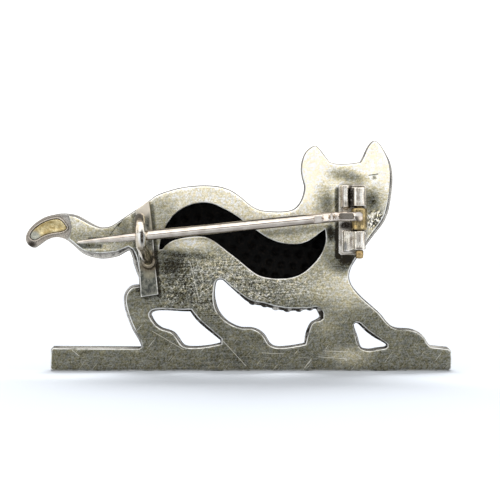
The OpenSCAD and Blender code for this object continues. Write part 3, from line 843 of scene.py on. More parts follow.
def edge_distance(loops, points):
    """How far each point is from the nearest outline, which is read in quarter steps."""
    dense = []
    for loop in loops:
        after = np.roll(loop, -1, 0)
        for t in (0, 0.25, 0.5, 0.75):
            dense.append(loop + t * (after - loop))
    dense = np.vstack(dense)
    tree = kdtree.KDTree(len(dense))
    for i, (x, z) in enumerate(dense):
        tree.insert((x, 0, z), i)
    tree.balance()
    return np.array([tree.find((x, 0, z))[2] for x, z in points])


def scattered(low, high, step):
    """Points in offset rows over a rectangle."""
    points = []
    for i, z in enumerate(np.arange(low[1], high[1], step * math.sqrt(3) / 2)):
        points += [(x, z) for x in np.arange(low[0] + (i % 2) * step / 2, high[0], step)]
    return np.array(points)


def refilled(points, low, high, step):
    """The points, with a rectangle of them replaced by closer ones."""
    near = ((points > low) & (points < high)).all(1)
    return np.vstack([points[~near], scattered(low, high, step)])


def within(loops, points, margin):
    """The points in the metal that lie further than a margin from its edge, and how far."""
    points = points[inside(loops, points)]
    far = edge_distance(loops, points)
    return points[far > margin], far[far > margin]


def ripple(points, scale, seed):
    """Smooth unevenness from -1 to 1 at points in the plane of the plate."""
    return np.array([noise.noise(Vector((x * scale, seed * 7.3, z * scale))) for x, z in points])


def ease(value, low, high):
    """A smooth step from 0 at low to 1 at high."""
    t = np.clip((value - low) / (high - low), 0, 1)
    return t * t * (3 - 2 * t)


def hill(points, middle, half_w, half_h, tilt=0.0):
    """A smooth round hill of height 1."""
    c, s = math.cos(math.radians(tilt)), math.sin(math.radians(tilt))
    away = points - middle
    u = (away[:, 0] * c + away[:, 1] * s) / half_w
    v = (away[:, 1] * c - away[:, 0] * s) / half_h
    return np.clip(1 - u * u - v * v, 0, 1) ** 1.5


def groove(points, stops, half_w):
    """A smooth groove of depth 1 along a line of stops."""
    best = np.full(len(points), np.inf)
    for a, b in zip(stops, stops[1:]):
        run = b - a
        t = np.clip(((points - a) @ run) / (run @ run), 0, 1)
        best = np.minimum(best, np.linalg.norm(points - a - t[:, None] * run, axis=1))
    return np.clip(1 - (best / half_w) ** 2, 0, 1) ** 1.5


# Meshes

# Angle in degrees from which an edge stays sharp
CORNER = 38
# Points of a mesh that lie nearer to each other than this are joined, and edges shorter than the
# second length go, both in mm
JOINED = 1e-4
SLIVER = 1e-5


class Skin:
    """Points, faces and finishes of one piece, and what each point's mark says."""

    def __init__(self):
        self.points = []
        self.faces = []
        self.slots = []
        self.marks = []

    def put(self, points, mark=0.0):
        """Adds points, with one mark or one for each, and gives their numbers."""
        start = len(self.points)
        self.points += [tuple(p) for p in points]
        self.marks += list(np.broadcast_to(mark, len(points)))
        return list(range(start, len(self.points)))

    def ring(self, loop, depth, mark=0.0):
        """Adds points of the plate's plane at a depth, or at a depth for each."""
        depths = np.broadcast_to(depth, len(loop))
        return self.put(np.column_stack([loop[:, 0], depths, loop[:, 1]]), mark)

    def face(self, ids, slot=0):
        """One face over numbered points; slot counts the piece's finishes."""
        self.faces.append(tuple(ids))
        self.slots.append(slot)

    def bridge(self, low, high, slot=0):
        """A band of faces between two rings."""
        n = len(low)
        for i in range(n):
            j = (i + 1) % n
            self.face((low[i], low[j], high[j], high[i]), slot)

    def loft(self, rings, slot=0):
        """Bands of faces from each ring to the next."""
        for low, high in zip(rings, rings[1:]):
            self.bridge(low, high, slot)

    def fill(self, rings, loose=(), slot=0):
        """Triangles between rings, the first of them the outer one, over loose points."""
        ids = [i for ring in rings for i in ring] + list(loose)
        flat = [Vector((self.points[i][0], self.points[i][2])) for i in ids]
        faces = []
        start = 0
        for ring in rings:
            faces.append(list(range(start, start + len(ring))))
            start += len(ring)
        made, _, triangles, origin, _, _ = geometry.delaunay_2d_cdt(flat, [], faces, 1, 1e-7)
        known = []
        for place, from_ids in zip(made, origin):
            if from_ids:
                known.append(ids[from_ids[0]])
            else:
                near = self.nearest(ids, place)
                known += self.put([(place.x, self.points[near][1], place.y)], self.marks[near])
        corners = np.array([[made[i] for i in t] for t in triangles])
        loops = [np.array([flat[i] for i in face]) for face in faces]
        keep = inside(loops, corners.mean(1))
        for triangle, kept in zip(triangles, keep):
            if kept:
                self.face([known[i] for i in triangle], slot)

    def nearest(self, ids, place):
        """The point of a list that lies nearest to a place in the plate's plane."""

        def off(i):
            return abs(self.points[i][0] - place.x) + abs(self.points[i][2] - place.y)

        return min(ids, key=off)

    def piece(self, name, finishes, mark=None, corner=CORNER):
        """The piece as an object, with its normals outwards and its corners kept sharp."""
        mesh = bpy.data.meshes.new(name)
        mesh.from_pydata([Vector(p) * MM for p in self.points], [], self.faces)
        for finish in finishes:
            mesh.materials.append(finish)
        mesh.polygons.foreach_set("material_index", self.slots)
        if mark:
            mesh.attributes.new(mark, "FLOAT", "POINT").data.foreach_set("value", self.marks)
        made = bpy.data.objects.new(name, mesh)
        bpy.context.scene.collection.objects.link(made)
        joined(made, corner)
        return made


def crease(form, corner):
    """Keeps the edges sharp where two faces meet at more than a corner's angle."""
    for edge in form.edges:
        edge.smooth = edge.calc_face_angle(0) < math.radians(corner)


def joined(made, corner):
    """Joins double points, turns normals outwards, and shades smoothly up to the corners."""
    form = bmesh.new()
    form.from_mesh(made.data)
    bmesh.ops.remove_doubles(form, verts=form.verts, dist=JOINED * MM)
    bmesh.ops.dissolve_degenerate(form, edges=form.edges, dist=SLIVER * MM)
    loose = [v for v in form.verts if not v.link_faces]
    bmesh.ops.delete(form, geom=loose, context="VERTS")
    bmesh.ops.recalc_face_normals(form, faces=form.faces)
    for face in form.faces:
        face.smooth = True
    crease(form, corner)
    form.to_mesh(made.data)
    form.free()


def settle(piece, body, node):
    """The piece stands in for its CAD node, which is hidden, is kept within the CAD's bounds and moves
    with its body.
    """
    places = np.empty(len(piece.data.vertices) * 3)
    piece.data.vertices.foreach_get("co", places)
    places = np.clip(places.reshape(-1, 3), *cad_box)
    piece.data.vertices.foreach_set("co", places.ravel())
    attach(piece, body)
    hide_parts(node)
    return piece


def holding(loops, point):
    """Which is the smallest outline that holds a point."""
    held = [i for i, loop in enumerate(loops) if inside([loop], np.array([point]))[0]]
    return held[-1]


# Back plate

# Spacing of the points along an outline, over the plate and in its finely marked part
FINE = 0.14
PLATE_STEP = 0.3
MARKED_STEP = 0.09
# Lower left and upper right of the plate and of its marked part in the photograph
PLATE_AREA = ((20, 375), (460, 138))
MARKED_AREA = ((362, 236), (390, 166))
# How far in from the edge the face starts, and how near to it a point may lie
PLATE_CHAMFER = 0.1
PLATE_MARGIN = 0.18
# Depth and waves for each mm of the plate's broad and fine unevenness, and depths of its dent
# and of its file marks
PLATE_WAVES = ((0.012, 0.45), (0.006, 1.3))
DENT_DEPTH = 0.15
FILED_DEPTH = 0.08
# Corners of the dent beside the hinge, and the width of its slopes in mm
DENT = ((368, 175), (379, 173), (376, 181))
DENT_SLOPE = 0.28
# The filed patch below the dent: its middle and its half width and half height, there and in mm
FILED = (376, 221)
FILED_PX = (12, 15)
FILED_MM = (1.25, 1.5)


def build_plate(silver):
    loops = [refined(loop, FINE) for loop in wound(flat_outlines("back_plate", BACK_Y))]
    skin = Skin()
    profile = [(0, SEAM_Y), (0, BACK_Y + 0.1), (0.03, BACK_Y + 0.035), (PLATE_CHAMFER, BACK_Y)]
    inner = []
    seam = []
    for loop in loops:
        rings = [skin.ring(moved(loop, inwards), y, inwards) for inwards, y in profile]
        skin.loft(rings)
        seam.append(rings[0])
        inner.append(rings[-1])
    points = scattered(*spots(PLATE_AREA), PLATE_STEP)
    points = refilled(points, *spots(MARKED_AREA), MARKED_STEP)
    points, far = within(loops, points, PLATE_MARGIN)
    (broad, broad_scale), (fine, fine_scale) = PLATE_WAVES
    sink = broad * ripple(points, broad_scale, 1) + fine * ripple(points, fine_scale, 2)
    sink = sink * ease(far, 0.15, 1.2)
    sink += DENT_DEPTH * dent(points)
    sink += FILED_DEPTH * filed(points) * ease(far, 0.1, 0.3)
    skin.fill(inner, skin.ring(points, BACK_Y + sink, far))
    skin.fill(seam)
    return settle(skin.piece("plate", [silver], "edge"), "brooch", "back_plate")


def dent(points):
    """A three-cornered dent, deepest in its middle."""
    a, b, c = spots(DENT)
    sides = []
    for p, q in ((a, b), (b, c), (c, a)):
        run = (q - p) / np.linalg.norm(q - p)
        sides.append((points - p) @ np.array([run[1], -run[0]]))
    return ease(np.min(sides, 0), 0, DENT_SLOPE)


def filed(points):
    """Short file marks below the jaw, in two directions."""
    patch = hill(points, spot(*FILED), *FILED_MM)
    along = points @ np.array([0.35, 1.0])
    across = points @ np.array([0.9, 0.75])
    steep = np.sin(along * 15 + 1.3 * np.sin(points[:, 0] * 3))
    level = np.sin(across * 13) - 0.2
    return patch * np.clip(np.maximum(steep, level), 0, 1)


# Cast front

# Step and corners of the grid over the brooch
GRID_STEP = 0.12
GRID_LOW = np.array([FRONT_LOW[0] - 1, -1.0])
GRID_HIGH = np.array([FRONT_HIGH[0] + 1, FRONT_HIGH[2] + 1])
# A level in front of the whole casting, from which its face is read
BEFORE_FACE = 10


class Depths:
    """Depths on a square grid over the brooch, read between its points."""

    def __init__(self, values):
        self.values = values

    @classmethod
    def cast(cls, tree, start_y):
        """The depth at which a ray along Y from start_y meets the casting."""
        towards = Vector((0, -1 if start_y > 0 else 1, 0))
        xs = np.arange(GRID_LOW[0], GRID_HIGH[0], GRID_STEP)
        zs = np.arange(GRID_LOW[1], GRID_HIGH[1], GRID_STEP)
        values = np.full((len(xs), len(zs)), np.nan)
        for i, x in enumerate(xs):
            for j, z in enumerate(zs):
                hit = tree.ray_cast(Vector((x, start_y, z)), towards)[0]
                if hit is not None:
                    values[i, j] = hit.y
        return cls(values)

    def blurred(self, radius):
        """The same depths, smoothed over a radius, and spread a little past their edge."""
        reach = int(3 * radius / GRID_STEP) + 1
        offsets = np.arange(-reach, reach + 1) * GRID_STEP
        kernel = np.exp(-0.5 * (offsets / radius) ** 2)
        known = ~np.isnan(self.values)

        def smooth(table):
            for axis in (0, 1):
                table = np.apply_along_axis(np.convolve, axis, table, kernel, "same")
            return table

        total = smooth(np.where(known, self.values, 0))
        return Depths(total / np.maximum(smooth(known.astype(float)), 1e-4))

    def at(self, points):
        """The depth at each point, from the four points of the grid round it."""
        place = (points - GRID_LOW) / GRID_STEP
        limit = np.array(self.values.shape) - 2
        cell = np.clip(place.astype(int), 0, limit)
        t = np.clip(place - cell, 0, 1)
        i, j = cell[:, 0], cell[:, 1]
        v = self.values
        low = v[i, j] * (1 - t[:, 0]) + v[i + 1, j] * t[:, 0]
        high = v[i, j + 1] * (1 - t[:, 0]) + v[i + 1, j + 1] * t[:, 0]
        return low * (1 - t[:, 1]) + high * t[:, 1]


def casting_tree():
    """The faces of the CAD casting, for rays to meet."""
    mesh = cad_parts["front_relief"].data
    points = [v.co / MM for v in mesh.vertices]
    return BVHTree.FromPolygons(points, [tuple(p.vertices) for p in mesh.polygons])


# Middle of the face in the photograph's frame, as it would be seen through the plate
FACE = (347.5, 200)
# Middle of each eye beside and above it, in mm
EYE = (1.5, 0.62)
# Hollows of the ears: middle in the photograph's frame, half height and lean
EARS = (((316, 163), 1.15, -8), ((374.5, 160), 1.25, 6))
EAR_HALF_W = 0.5
EAR_DEPTH = 0.3
# Paws in the photograph's frame, how far the two grooves of a paw lie to its sides, and where
# each of them runs from there, in mm
TOES = ((251, 342), (170, 345), (331, 344), (412, 343))
TOE_APART = 3.2
TOE_RUN = (0.05, -0.75)
# Bands of the tail in the photograph's frame: middle, and how far a band leans, then half its height
TAIL_RINGS = ((38, 232, 7), (47, 227, 5), (57, 225, 2), (67, 225, -2), (78, 228, -5), (90, 233, -6))
TAIL_RING_HALF = 9
# Strokes of fur on the chest: how many, the ends of the first, the step to the next one at each end,
# and how uneven the ends are
FUR_STROKES = 9
FUR_TOP = (322, 246)
FUR_FOOT = (319, 262)
FUR_STEP = (5.5, 5)
FUR_UNEVEN = (2.5, 5)


def arched(middle, side, ends, lift, fall, half_w):
    """Stops of a brow or lid over an eye, from its inner to its outer end."""
    return [middle + np.array([side * t, lift - fall * (t / half_w) ** 2]) for t in ends]


def carved_half_face(points, at, side):
    """One side of the face: an eye with its brow and lid, the muzzle, whisker dots and cheek."""
    eye = at(side * EYE[0], EYE[1])
    lift = -0.2 * hill(points, eye, 0.72, 0.46, side * 14)
    lift += 0.26 * hill(points, eye, 0.44, 0.3, side * 14)
    brow = arched(eye, side, (-0.7, -0.2, 0.3, 0.75), 0.42, 0.25, 0.7)
    lift -= 0.07 * groove(points, brow, 0.09)
    lid = arched(eye, side, (-0.5, -0.2, 0.2, 0.55), 0.1, 0.35, 0.55)
    lift -= 0.05 * groove(points, lid, 0.06)
    lift += 0.11 * hill(points, at(side * 0.52, -0.95), 0.62, 0.5, side * -20)
    mouth = [at(0, -1.25), at(side * 0.35, -1.5), at(side * 0.85, -1.38)]
    lift -= 0.12 * groove(points, mouth, 0.1)
    for row in range(3):
        for column in range(3):
            dot = at(side * (0.5 + 0.18 * column), -0.85 - 0.16 * row + 0.04 * column)
            lift -= 0.05 * hill(points, dot, 0.055, 0.055)
    cheek = [at(side * (2.0 + 0.25 * k), -0.6 - 0.35 * k) for k in range(4)]
    return lift - 0.06 * groove(points, cheek, 0.12)


def carved_face(points):
    """The face: both halves, the nose, the line under it and the furrow of the brow."""
    face = spot(*FACE)

    def at(x, z):
        return face + np.array([x, z])

    lift = carved_half_face(points, at, -1) + carved_half_face(points, at, 1)
    lift += 0.14 * hill(points, at(0, -0.5), 0.34, 0.26)
    lift -= 0.12 * groove(points, [at(0, -0.72), at(0, -1.25)], 0.07)
    return lift - 0.08 * hill(points, at(0, 1.6), 0.3, 1.1)


def carved(points):
    """What the chaser's tools add to the casting, in mm: the face, the ears, toes, tail and fur."""
    lift = carved_face(points)
    for middle, half_h, lean in EARS:
        lift -= EAR_DEPTH * hill(points, spot(*middle), EAR_HALF_W, half_h, lean)
    for x, y in TOES:
        for side in (-1, 1):
            toe = spot(x + TOE_APART * side, y)
            lift -= 0.12 * groove(points, [toe, toe + np.array([TOE_RUN[0] * side, TOE_RUN[1]])], 0.1)
    for x, y, lean in TAIL_RINGS:
        low, high = spot(x, y - TAIL_RING_HALF), spot(x + lean, y + TAIL_RING_HALF)
        lift -= 0.07 * groove(points, [low, high], 0.13)
    for k in range(FUR_STROKES):
        top = spot(FUR_TOP[0] + FUR_STEP[0] * k, FUR_TOP[1] + FUR_UNEVEN[0] * (k % 2))
        foot = spot(FUR_FOOT[0] + FUR_STEP[1] * k, FUR_FOOT[1] + FUR_UNEVEN[1] * (k % 3))
        lift -= 0.07 * groove(points, [top, foot], 0.11)
    return lift


# The rim round the plate, from inside out: distance from the edge, step down and darkness; the dark
# beside the plate's edge is a painted shadow
RIM = [(0.24, 0, 0.6), (0.11, 0, 0.1), (0.05, 0, 0.3), (0, 0.05, 1)]
# How round the casting's front edge is, and where on that round its rings lie
EDGE_ROUND = 0.2
ROUND_STEPS = (0.0, 0.25, 0.6, 1.0)
# Painted shade on the walls of the openings between the legs, on their right and upper sides
WALL_SHADE = np.array([0.7, 0.5])
# Spacing of the points along the hollow's and the lip's outlines, over the front, over the head
# and inside the hollow
HOLLOW_FINE = 0.3
LIP_FINE = 0.12
FRONT_STEP = 0.2
HEAD_STEP = 0.1
HOLLOW_STEP = 0.16
# A point in the opening over the body, and the lower left and upper right of the head
IN_HOLLOW = (205, 215)
HEAD_AREA = ((300, 232), (396, 138))
# The head, whose relief is kept sharp: middle, and half width and half height in mm
HEAD = (347.5, 195)
HEAD_MM = (7, 6)
# Heights over the seam between which the body goes from its own relief to a smoother one, and how
# far both are smoothed
SMOOTH_FROM = 1.7
SMOOTH_TO = 2.6
FINE_BLUR = 0.2
BROAD_BLUR = 0.6


class Relief:
    """Depths of the casting's face: the CAD casting's own, smoothed, with the carving on it."""

    def __init__(self, tree):
        raw = Depths.cast(tree, BEFORE_FACE)
        self.fine = raw.blurred(FINE_BLUR)
        self.broad = raw.blurred(BROAD_BLUR)

    def at(self, points):
        """The depth of the face at points of the plate's plane."""
        sharp = self.fine.at(points)
        share = ease(sharp - SEAM_Y, SMOOTH_FROM, SMOOTH_TO)
        head = hill(points, spot(*HEAD), *HEAD_MM) > 0
        share = np.where(head, share * 0.25, share)
        return sharp * (1 - share) + self.broad.at(points) * share + carved(points)


def front_wall(skin, loop, relief, is_hole):
    """Builds the wall from the rim round the plate to the face; gives its first and last ring."""
    into = moved(loop, 1) - loop
    # Painted shade: walls of openings are marked darker on their right and upper sides, and the rim
    # beside the plate's edge darker too
    sides = np.clip(into @ WALL_SHADE + 0.25, 0, 1) if is_hole else np.zeros(len(loop))
    wall = 0.25 + 0.7 * sides
    top = relief.at(moved(loop, EDGE_ROUND))
    places = [moved(loop, EDGE_ROUND * (1 - math.sqrt(1 - s * s))) for s in ROUND_STEPS]
    depths = [top - EDGE_ROUND * (1 - s) for s in ROUND_STEPS]
    rings = []
    for inwards, down, dark in RIM:
        rings.append(skin.ring(moved(loop, inwards), SEAM_Y + down, np.maximum(dark, sides)))
    rings.append(skin.ring(loop, (SEAM_Y + depths[0]) / 2, wall))
    for s, place, depth in zip(ROUND_STEPS, places, depths):
        rings.append(skin.ring(place, depth, wall * (1 - s)))
    skin.loft(rings)
    return rings[0], rings[-1]


def build_front(silver, black, seats):
    flat = flat_outlines("front_relief", SEAM_Y)
    hollow_at = holding(flat, spot(*IN_HOLLOW))
    lip_at = holding(flat, (FILL_LOW + FILL_HIGH)[[0, 2]] / 2)
    edges = [loop for i, loop in enumerate(flat) if i not in (hollow_at, lip_at)]
    edges = [refined(loop, FINE) for loop in wound(edges)]
    hollow = refined(wound([flat[0], flat[hollow_at]])[1], HOLLOW_FINE)
    lip = refined(wound([flat[0], flat[lip_at]])[1], LIP_FINE)
    tree = casting_tree()
    relief = Relief(tree)

    skin = Skin()
    seam = []
    inner = []
    for i, loop in enumerate(edges):
        first, last = front_wall(skin, loop, relief, i > 0)
        seam.append(first)
        inner.append(last)
    points = scattered(GRID_LOW, GRID_HIGH, FRONT_STEP)
    points = refilled(points, *spots(HEAD_AREA), HEAD_STEP)
    points, _ = within(edges, points, EDGE_ROUND + 0.08)
    depth = relief.at(points)
    hidden = np.clip((relief.broad.at(points) - depth) * 2.2, 0, 1)
    skin.fill(inner, skin.ring(points, depth, hidden))

    lip_ring = skin.ring(lip, SEAM_Y, 0.5)
    hollow_ring = skin.ring(hollow, SEAM_Y, 0.5)
    skin.fill(seam + [hollow_ring, lip_ring])
    build_lip(skin, lip, lip_ring)
    build_hollow(skin, hollow, hollow_ring, tree, seats)
    front = skin.piece("front", [silver, black], "recess")
    return settle(front, "brooch", "front_relief")


# Width and top of the lip round the pocket in the tail, and the pocket's floor
LIP_W = 0.178
LIP_TOP = FRONT_LOW[1]
POCKET_Y = FILL_HIGH[1] + 0.03
# The lip from outside in: share of its width, and how far below its top
LIP_ROUND = ((0, 0.1), (0.12, 0.03), (0.35, 0), (0.65, 0), (0.88, 0.03), (1, 0.1))


def build_lip(skin, lip, ring):
    """The raised lip round the pocket in the tail, and the pocket's walls and floor."""
    rings = [ring]
    for share, down in LIP_ROUND:
        rings.append(skin.ring(moved(lip, -LIP_W * share), LIP_TOP + down))
    rings.append(skin.ring(moved(lip, -LIP_W), POCKET_Y, 0.4))
    skin.loft(rings)
    skin.fill([rings[-1]])


# Pit behind a stone: its half width and depth in mm, and how much each of them changes
PIT_R = (0.46, 0.12)
PIT_DEPTH = (0.32, 0.2)
HOLLOW_BLUR = 0.3


def build_hollow(skin, hollow, ring, tree, seats):
    """The inside of the casting, with a pit behind each stone's seat."""
    roof = Depths.cast(tree, SEAM_Y + 0.01)
    roof.values[roof.values < SEAM_Y + 0.05] = np.nan
    roof = roof.blurred(HOLLOW_BLUR)
    points = scattered(hollow.min(0), hollow.max(0), HOLLOW_STEP)
    points, far = within([hollow], points, 0.12)
    depth = np.maximum(roof.at(points), SEAM_Y + 0.1)
    depth = SEAM_Y + (depth - SEAM_Y) * ease(far, -0.2, 0.35)
    for seat in seats:
        middle = seat.place[[0, 2]]
        uneven = noise.noise(Vector((middle[0] * 3.1, 0, middle[1] * 3.1)))
        wide = PIT_R[0] + PIT_R[1] * uneven
        deep = PIT_DEPTH[0] + PIT_DEPTH[1] * uneven
        depth += deep * hill(points, middle, wide, wide) * ease(far, 0.4, 0.8)
    skin.fill([ring], skin.ring(points, depth, 0.5), 1)


# Stones


class Seat:
    """Where one stone sits: its middle, the way it faces, its radius and its height."""

    def __init__(self, points):
        self.place = points.mean(0)
        away = points - self.place
        axis = np.linalg.svd(away, full_matrices=False)[2][2]
        self.axis = axis if axis[1] > 0 else -axis
        along = away @ self.axis
        self.radius = float(np.linalg.norm(away - np.outer(along, self.axis), axis=1).max())
        self.height = float(along.max() - along.min())
        self.base = self.place + self.axis * along.min()
        side = np.cross(self.axis, (0, 0, 1))
        self.side = side / np.linalg.norm(side)
        self.up = np.cross(self.side, self.axis)

    def circle(self, radius, height, sides, turn=0.0):
        """Points round the axis, at a height above the base; turn is in steps between two points."""
        points = []
        for k in range(sides):
            a = 2 * math.pi * (k + turn) / sides
            out = self.side * math.cos(a) + self.up * math.sin(a)
            points.append(self.base + self.axis * height + radius * out)
        return points

    def lathe(self, skin, profile, sides):
        """A closed round form on the axis: rows of radius and height above the base."""
        rings = [skin.put(self.circle(radius, height, sides)) for radius, height in profile]
        skin.loft(rings)
        skin.face(rings[0][::-1])
        skin.face(rings[-1])


def find_seats():
    """One seat for each loose solid of the CAD node."""
    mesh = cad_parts["pave_stones"].data
    form = bmesh.new()
    form.from_mesh(mesh)
    bmesh.ops.remove_doubles(form, verts=form.verts, dist=1e-6)
    unseen = set(form.verts)
    seats = []
    for vertex in form.verts:
        if vertex not in unseen:
            continue
        group = []
        queue = [vertex]
        unseen.discard(vertex)
        while queue:
            point = queue.pop()
            group.append(point.co / MM)
            for edge in point.link_edges:
                other = edge.other_vert(point)
                if other in unseen:
                    unseen.discard(other)
                    queue.append(other)
        seats.append(Seat(np.array(group)))
    form.free()
    return seats


def cut(skin, seat):
    """A rose-like cut: a girdle of 16, eight main facets, eight star facets and a table."""
    r, h = seat.radius, seat.height
    foot = skin.put(seat.circle(r, 0.02, 16))
    girdle = skin.put(seat.circle(r, h * 0.3, 16))
    waist = skin.put(seat.circle(r * 0.78, h * 0.72, 8, 0.5))
    table = skin.put(seat.circle(r * 0.5, h, 8))
    skin.face(foot[::-1], 1)
    skin.bridge(foot, girdle, 1)
    for k in range(8):
        a, b, c = girdle[2 * k], girdle[2 * k + 1], girdle[(2 * k + 2) % 16]
        skin.face((a, b, waist[k]), 1)
        skin.face((b, c, waist[k]), 1)
        skin.face((a, waist[k], table[k], waist[k - 1]), 1)
        skin.face((waist[k], table[(k + 1) % 8], table[k]), 1)
    skin.face(table, 1)


def evaluated(made):
    """The piece's mesh with its modifiers worked in."""
    bpy.context.view_layer.update()
    return bpy.data.meshes.new_from_object(made.evaluated_get(bpy.context.evaluated_depsgraph_get()))


def united(pieces):
    """One closed mesh of several closed meshes that overlap."""
    first = pieces[0]
    for other in pieces[1:]:
        tool = first.modifiers.new("unite", "BOOLEAN")
        tool.operation = "UNION"
        tool.solver = "MANIFOLD"
        tool.object = other
    mesh = evaluated(first)
    first.modifiers.clear()
    first.data = mesh
    for other in pieces[1:]:
        bpy.data.objects.remove(other)
    return first


# Sides of a seat's bed, and its profile: radius and height above the base, first of its stem in
# the casting, then of the cup, whose radius is given from the stone's own
BED_SIDES = 24
BED_STEM = ((0.7, -0.42), (0.7, -0.1), (0.66, -0.04))
BED_CUP = ((0.1, 0.02), (0.06, 0.12), (-0.03, 0.14))
# Beds further apart than this don't touch, stones nearer than this are side by side, and beads
# stand at least so far from each other
BEDS_APART = 1.62
SIDE_BY_SIDE = 1.55
BEADS_APART = 0.36
# Radius of a bead, how far its middle lies above the beds, and its rows and sides
BEAD_R = 0.17
BEAD_UP = 0.1
BEAD_ROWS = 5
BEAD_SIDES = 10
# Angle in degrees from which an edge of the fused stones stays sharp
STONE_CORNER = 32


def apart(seats):
    """The seats in groups, in each of which no two beds touch."""
    groups = []
    for seat in seats:
        for group in groups:
            if all(np.linalg.norm(seat.place - other.place) > BEDS_APART for other in group):
                group.append(seat)
                break
        else:
            groups.append([seat])
    return groups


def neighbours(seats):
    """Pairs of stones that stand side by side, with no two beads in one place."""
    pairs = []
    taken = []
    for i, a in enumerate(seats):
        for b in seats[i + 1 :]:
            if np.linalg.norm(a.place - b.place) < SIDE_BY_SIDE:
                middle = (a.base + b.base) / 2
                if all(np.linalg.norm(middle - other) > BEADS_APART for other in taken):
                    pairs.append((a, b))
                    taken.append(middle)
    return pairs


def bead(skin, a, b):
    """A small round bead raised between two stones."""
    middle = (a.base + b.base) / 2 + (a.axis + b.axis) / 2 * BEAD_UP
    rings = []
    for row in range(1, BEAD_ROWS + 1):
        down = math.pi * row / (BEAD_ROWS + 1)
        ring = []
        for k in range(BEAD_SIDES):
            around = 2 * math.pi * k / BEAD_SIDES
            out = a.side * math.cos(around) + a.up * math.sin(around)
            ring.append(middle + BEAD_R * (a.axis * math.cos(down) + math.sin(down) * out))
        rings.append(skin.put(ring))
    skin.loft(rings)
    (top,) = skin.put([middle + BEAD_R * a.axis])
    (foot,) = skin.put([middle - BEAD_R * a.axis])
    for k in range(BEAD_SIDES):
        after = (k + 1) % BEAD_SIDES
        skin.face((top, rings[0][k], rings[0][after]))
        skin.face((foot, rings[-1][after], rings[-1][k]))


def build_stones(seats, silver, stone):
    """The stones with their seats and the beads that hold them, as one fused piece."""
    pieces = []
    for i, group in enumerate(apart(seats)):
        skin = Skin()
        for seat in group:
            cup = [(seat.radius + wider, height) for wider, height in BED_CUP]
            seat.lathe(skin, [*BED_STEM, *cup], BED_SIDES)
        pieces.append(skin.piece(f"bed_{i}", [silver, stone]))
    skin = Skin()
    for seat in seats:
        cut(skin, seat)
    pieces.append(skin.piece("cut", [silver, stone]))
    skin = Skin()
    for a, b in neighbours(seats):
        bead(skin, a, b)
    pieces.append(skin.piece("beads", [silver, stone]))
    made = united(pieces)
    made.name = "stones"
    for polygon in made.data.polygons:
        polygon.use_smooth = polygon.material_index == 0
    form = bmesh.new()
    form.from_mesh(made.data)
    crease(form, STONE_CORNER)
    form.to_mesh(made.data)
    form.free()
    return settle(made, "brooch", "pave_stones")


# Tail filling

# Spacing of the filling's points along its outline and over its face
FILLING_FINE = 0.12
FILLING_STEP = 0.09
# How deep the filling has sunk, and depth and waves for each mm of its unevenness
FILLING_SUNK = 0.07
FILLING_WAVES = ((0.07, 1.5), (0.03, 4.5))
# The pit in the filling: its middle in the photograph, half width, half height and depth in mm,
# and how it leans
PIT = (38.5, 224.5)
PIT_MM = (0.5, 0.16)
PIT_SUNK = 0.07
PIT_LEAN = 25


def build_filling(solder):
    top = FILL_LOW[1]
    loop = refined(wound(flat_outlines("tail_fill", top))[0], FILLING_FINE)
    skin = Skin()
    profile = [(0, FILL_HIGH[1]), (0, top + 0.1), (0.02, top + 0.03), (0.1, top + 0.01)]
    rings = [skin.ring(moved(loop, inwards), y) for inwards, y in profile]
    skin.loft(rings)
    skin.fill([rings[0]])
    points = scattered(loop.min(0), loop.max(0), FILLING_STEP)
    points, far = within([loop], points, 0.18)
    (broad, broad_scale), (fine, fine_scale) = FILLING_WAVES
    sink = FILLING_SUNK + broad * ripple(points, broad_scale, 3) + fine * ripple(points, fine_scale, 4)
    sink += PIT_SUNK * hill(points, spot(*PIT), *PIT_MM, PIT_LEAN)
    skin.fill([rings[-1]], skin.ring(points, top + np.maximum(sink, 0) * ease(far, 0.1, 0.4)))
    return settle(skin.piece("filling", [solder]), "brooch", "tail_fill")


# Catch and hinge

# Turns the bend of a surface, as a share of its mesh size, into 0 to 1 for a worn edge with its
# painted highlight, and how many times that is evened out
EDGE_GAIN = 12
EDGE_PASSES = 3
# Waves for each mm of the unevenness of filed metal
FILED_SCALE = 1.7


def smeared(values, ends):
    """Each point's value as the mean of its own and its neighbours'."""
    total = values.copy()
    count = np.ones(len(values))
    for a, b in (ends.T, ends.T[::-1]):
        np.add.at(total, a, values[b])
        np.add.at(count, a, 1)
    return total / count[:, None]


def softened(node, name, voxel, passes):
    """A copy of a CAD node, in mm, in small even faces and with its edges softened."""
    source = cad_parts[node].data.copy()
    source.transform(Matrix.Scale(1 / MM, 4))
    made = bpy.data.objects.new(name, source)
    bpy.context.scene.collection.objects.link(made)
    form = bmesh.new()
    form.from_mesh(source)
    bmesh.ops.remove_doubles(form, verts=form.verts, dist=JOINED)
    form.to_mesh(source)
    form.free()
    remesh = made.modifiers.new("remesh", "REMESH")
    remesh.mode = "VOXEL"
    remesh.voxel_size = voxel
    smooth = made.modifiers.new("smooth", "SMOOTH")
    smooth.iterations = passes
    mesh = evaluated(made)
    made.modifiers.clear()
    made.data = mesh
    return made


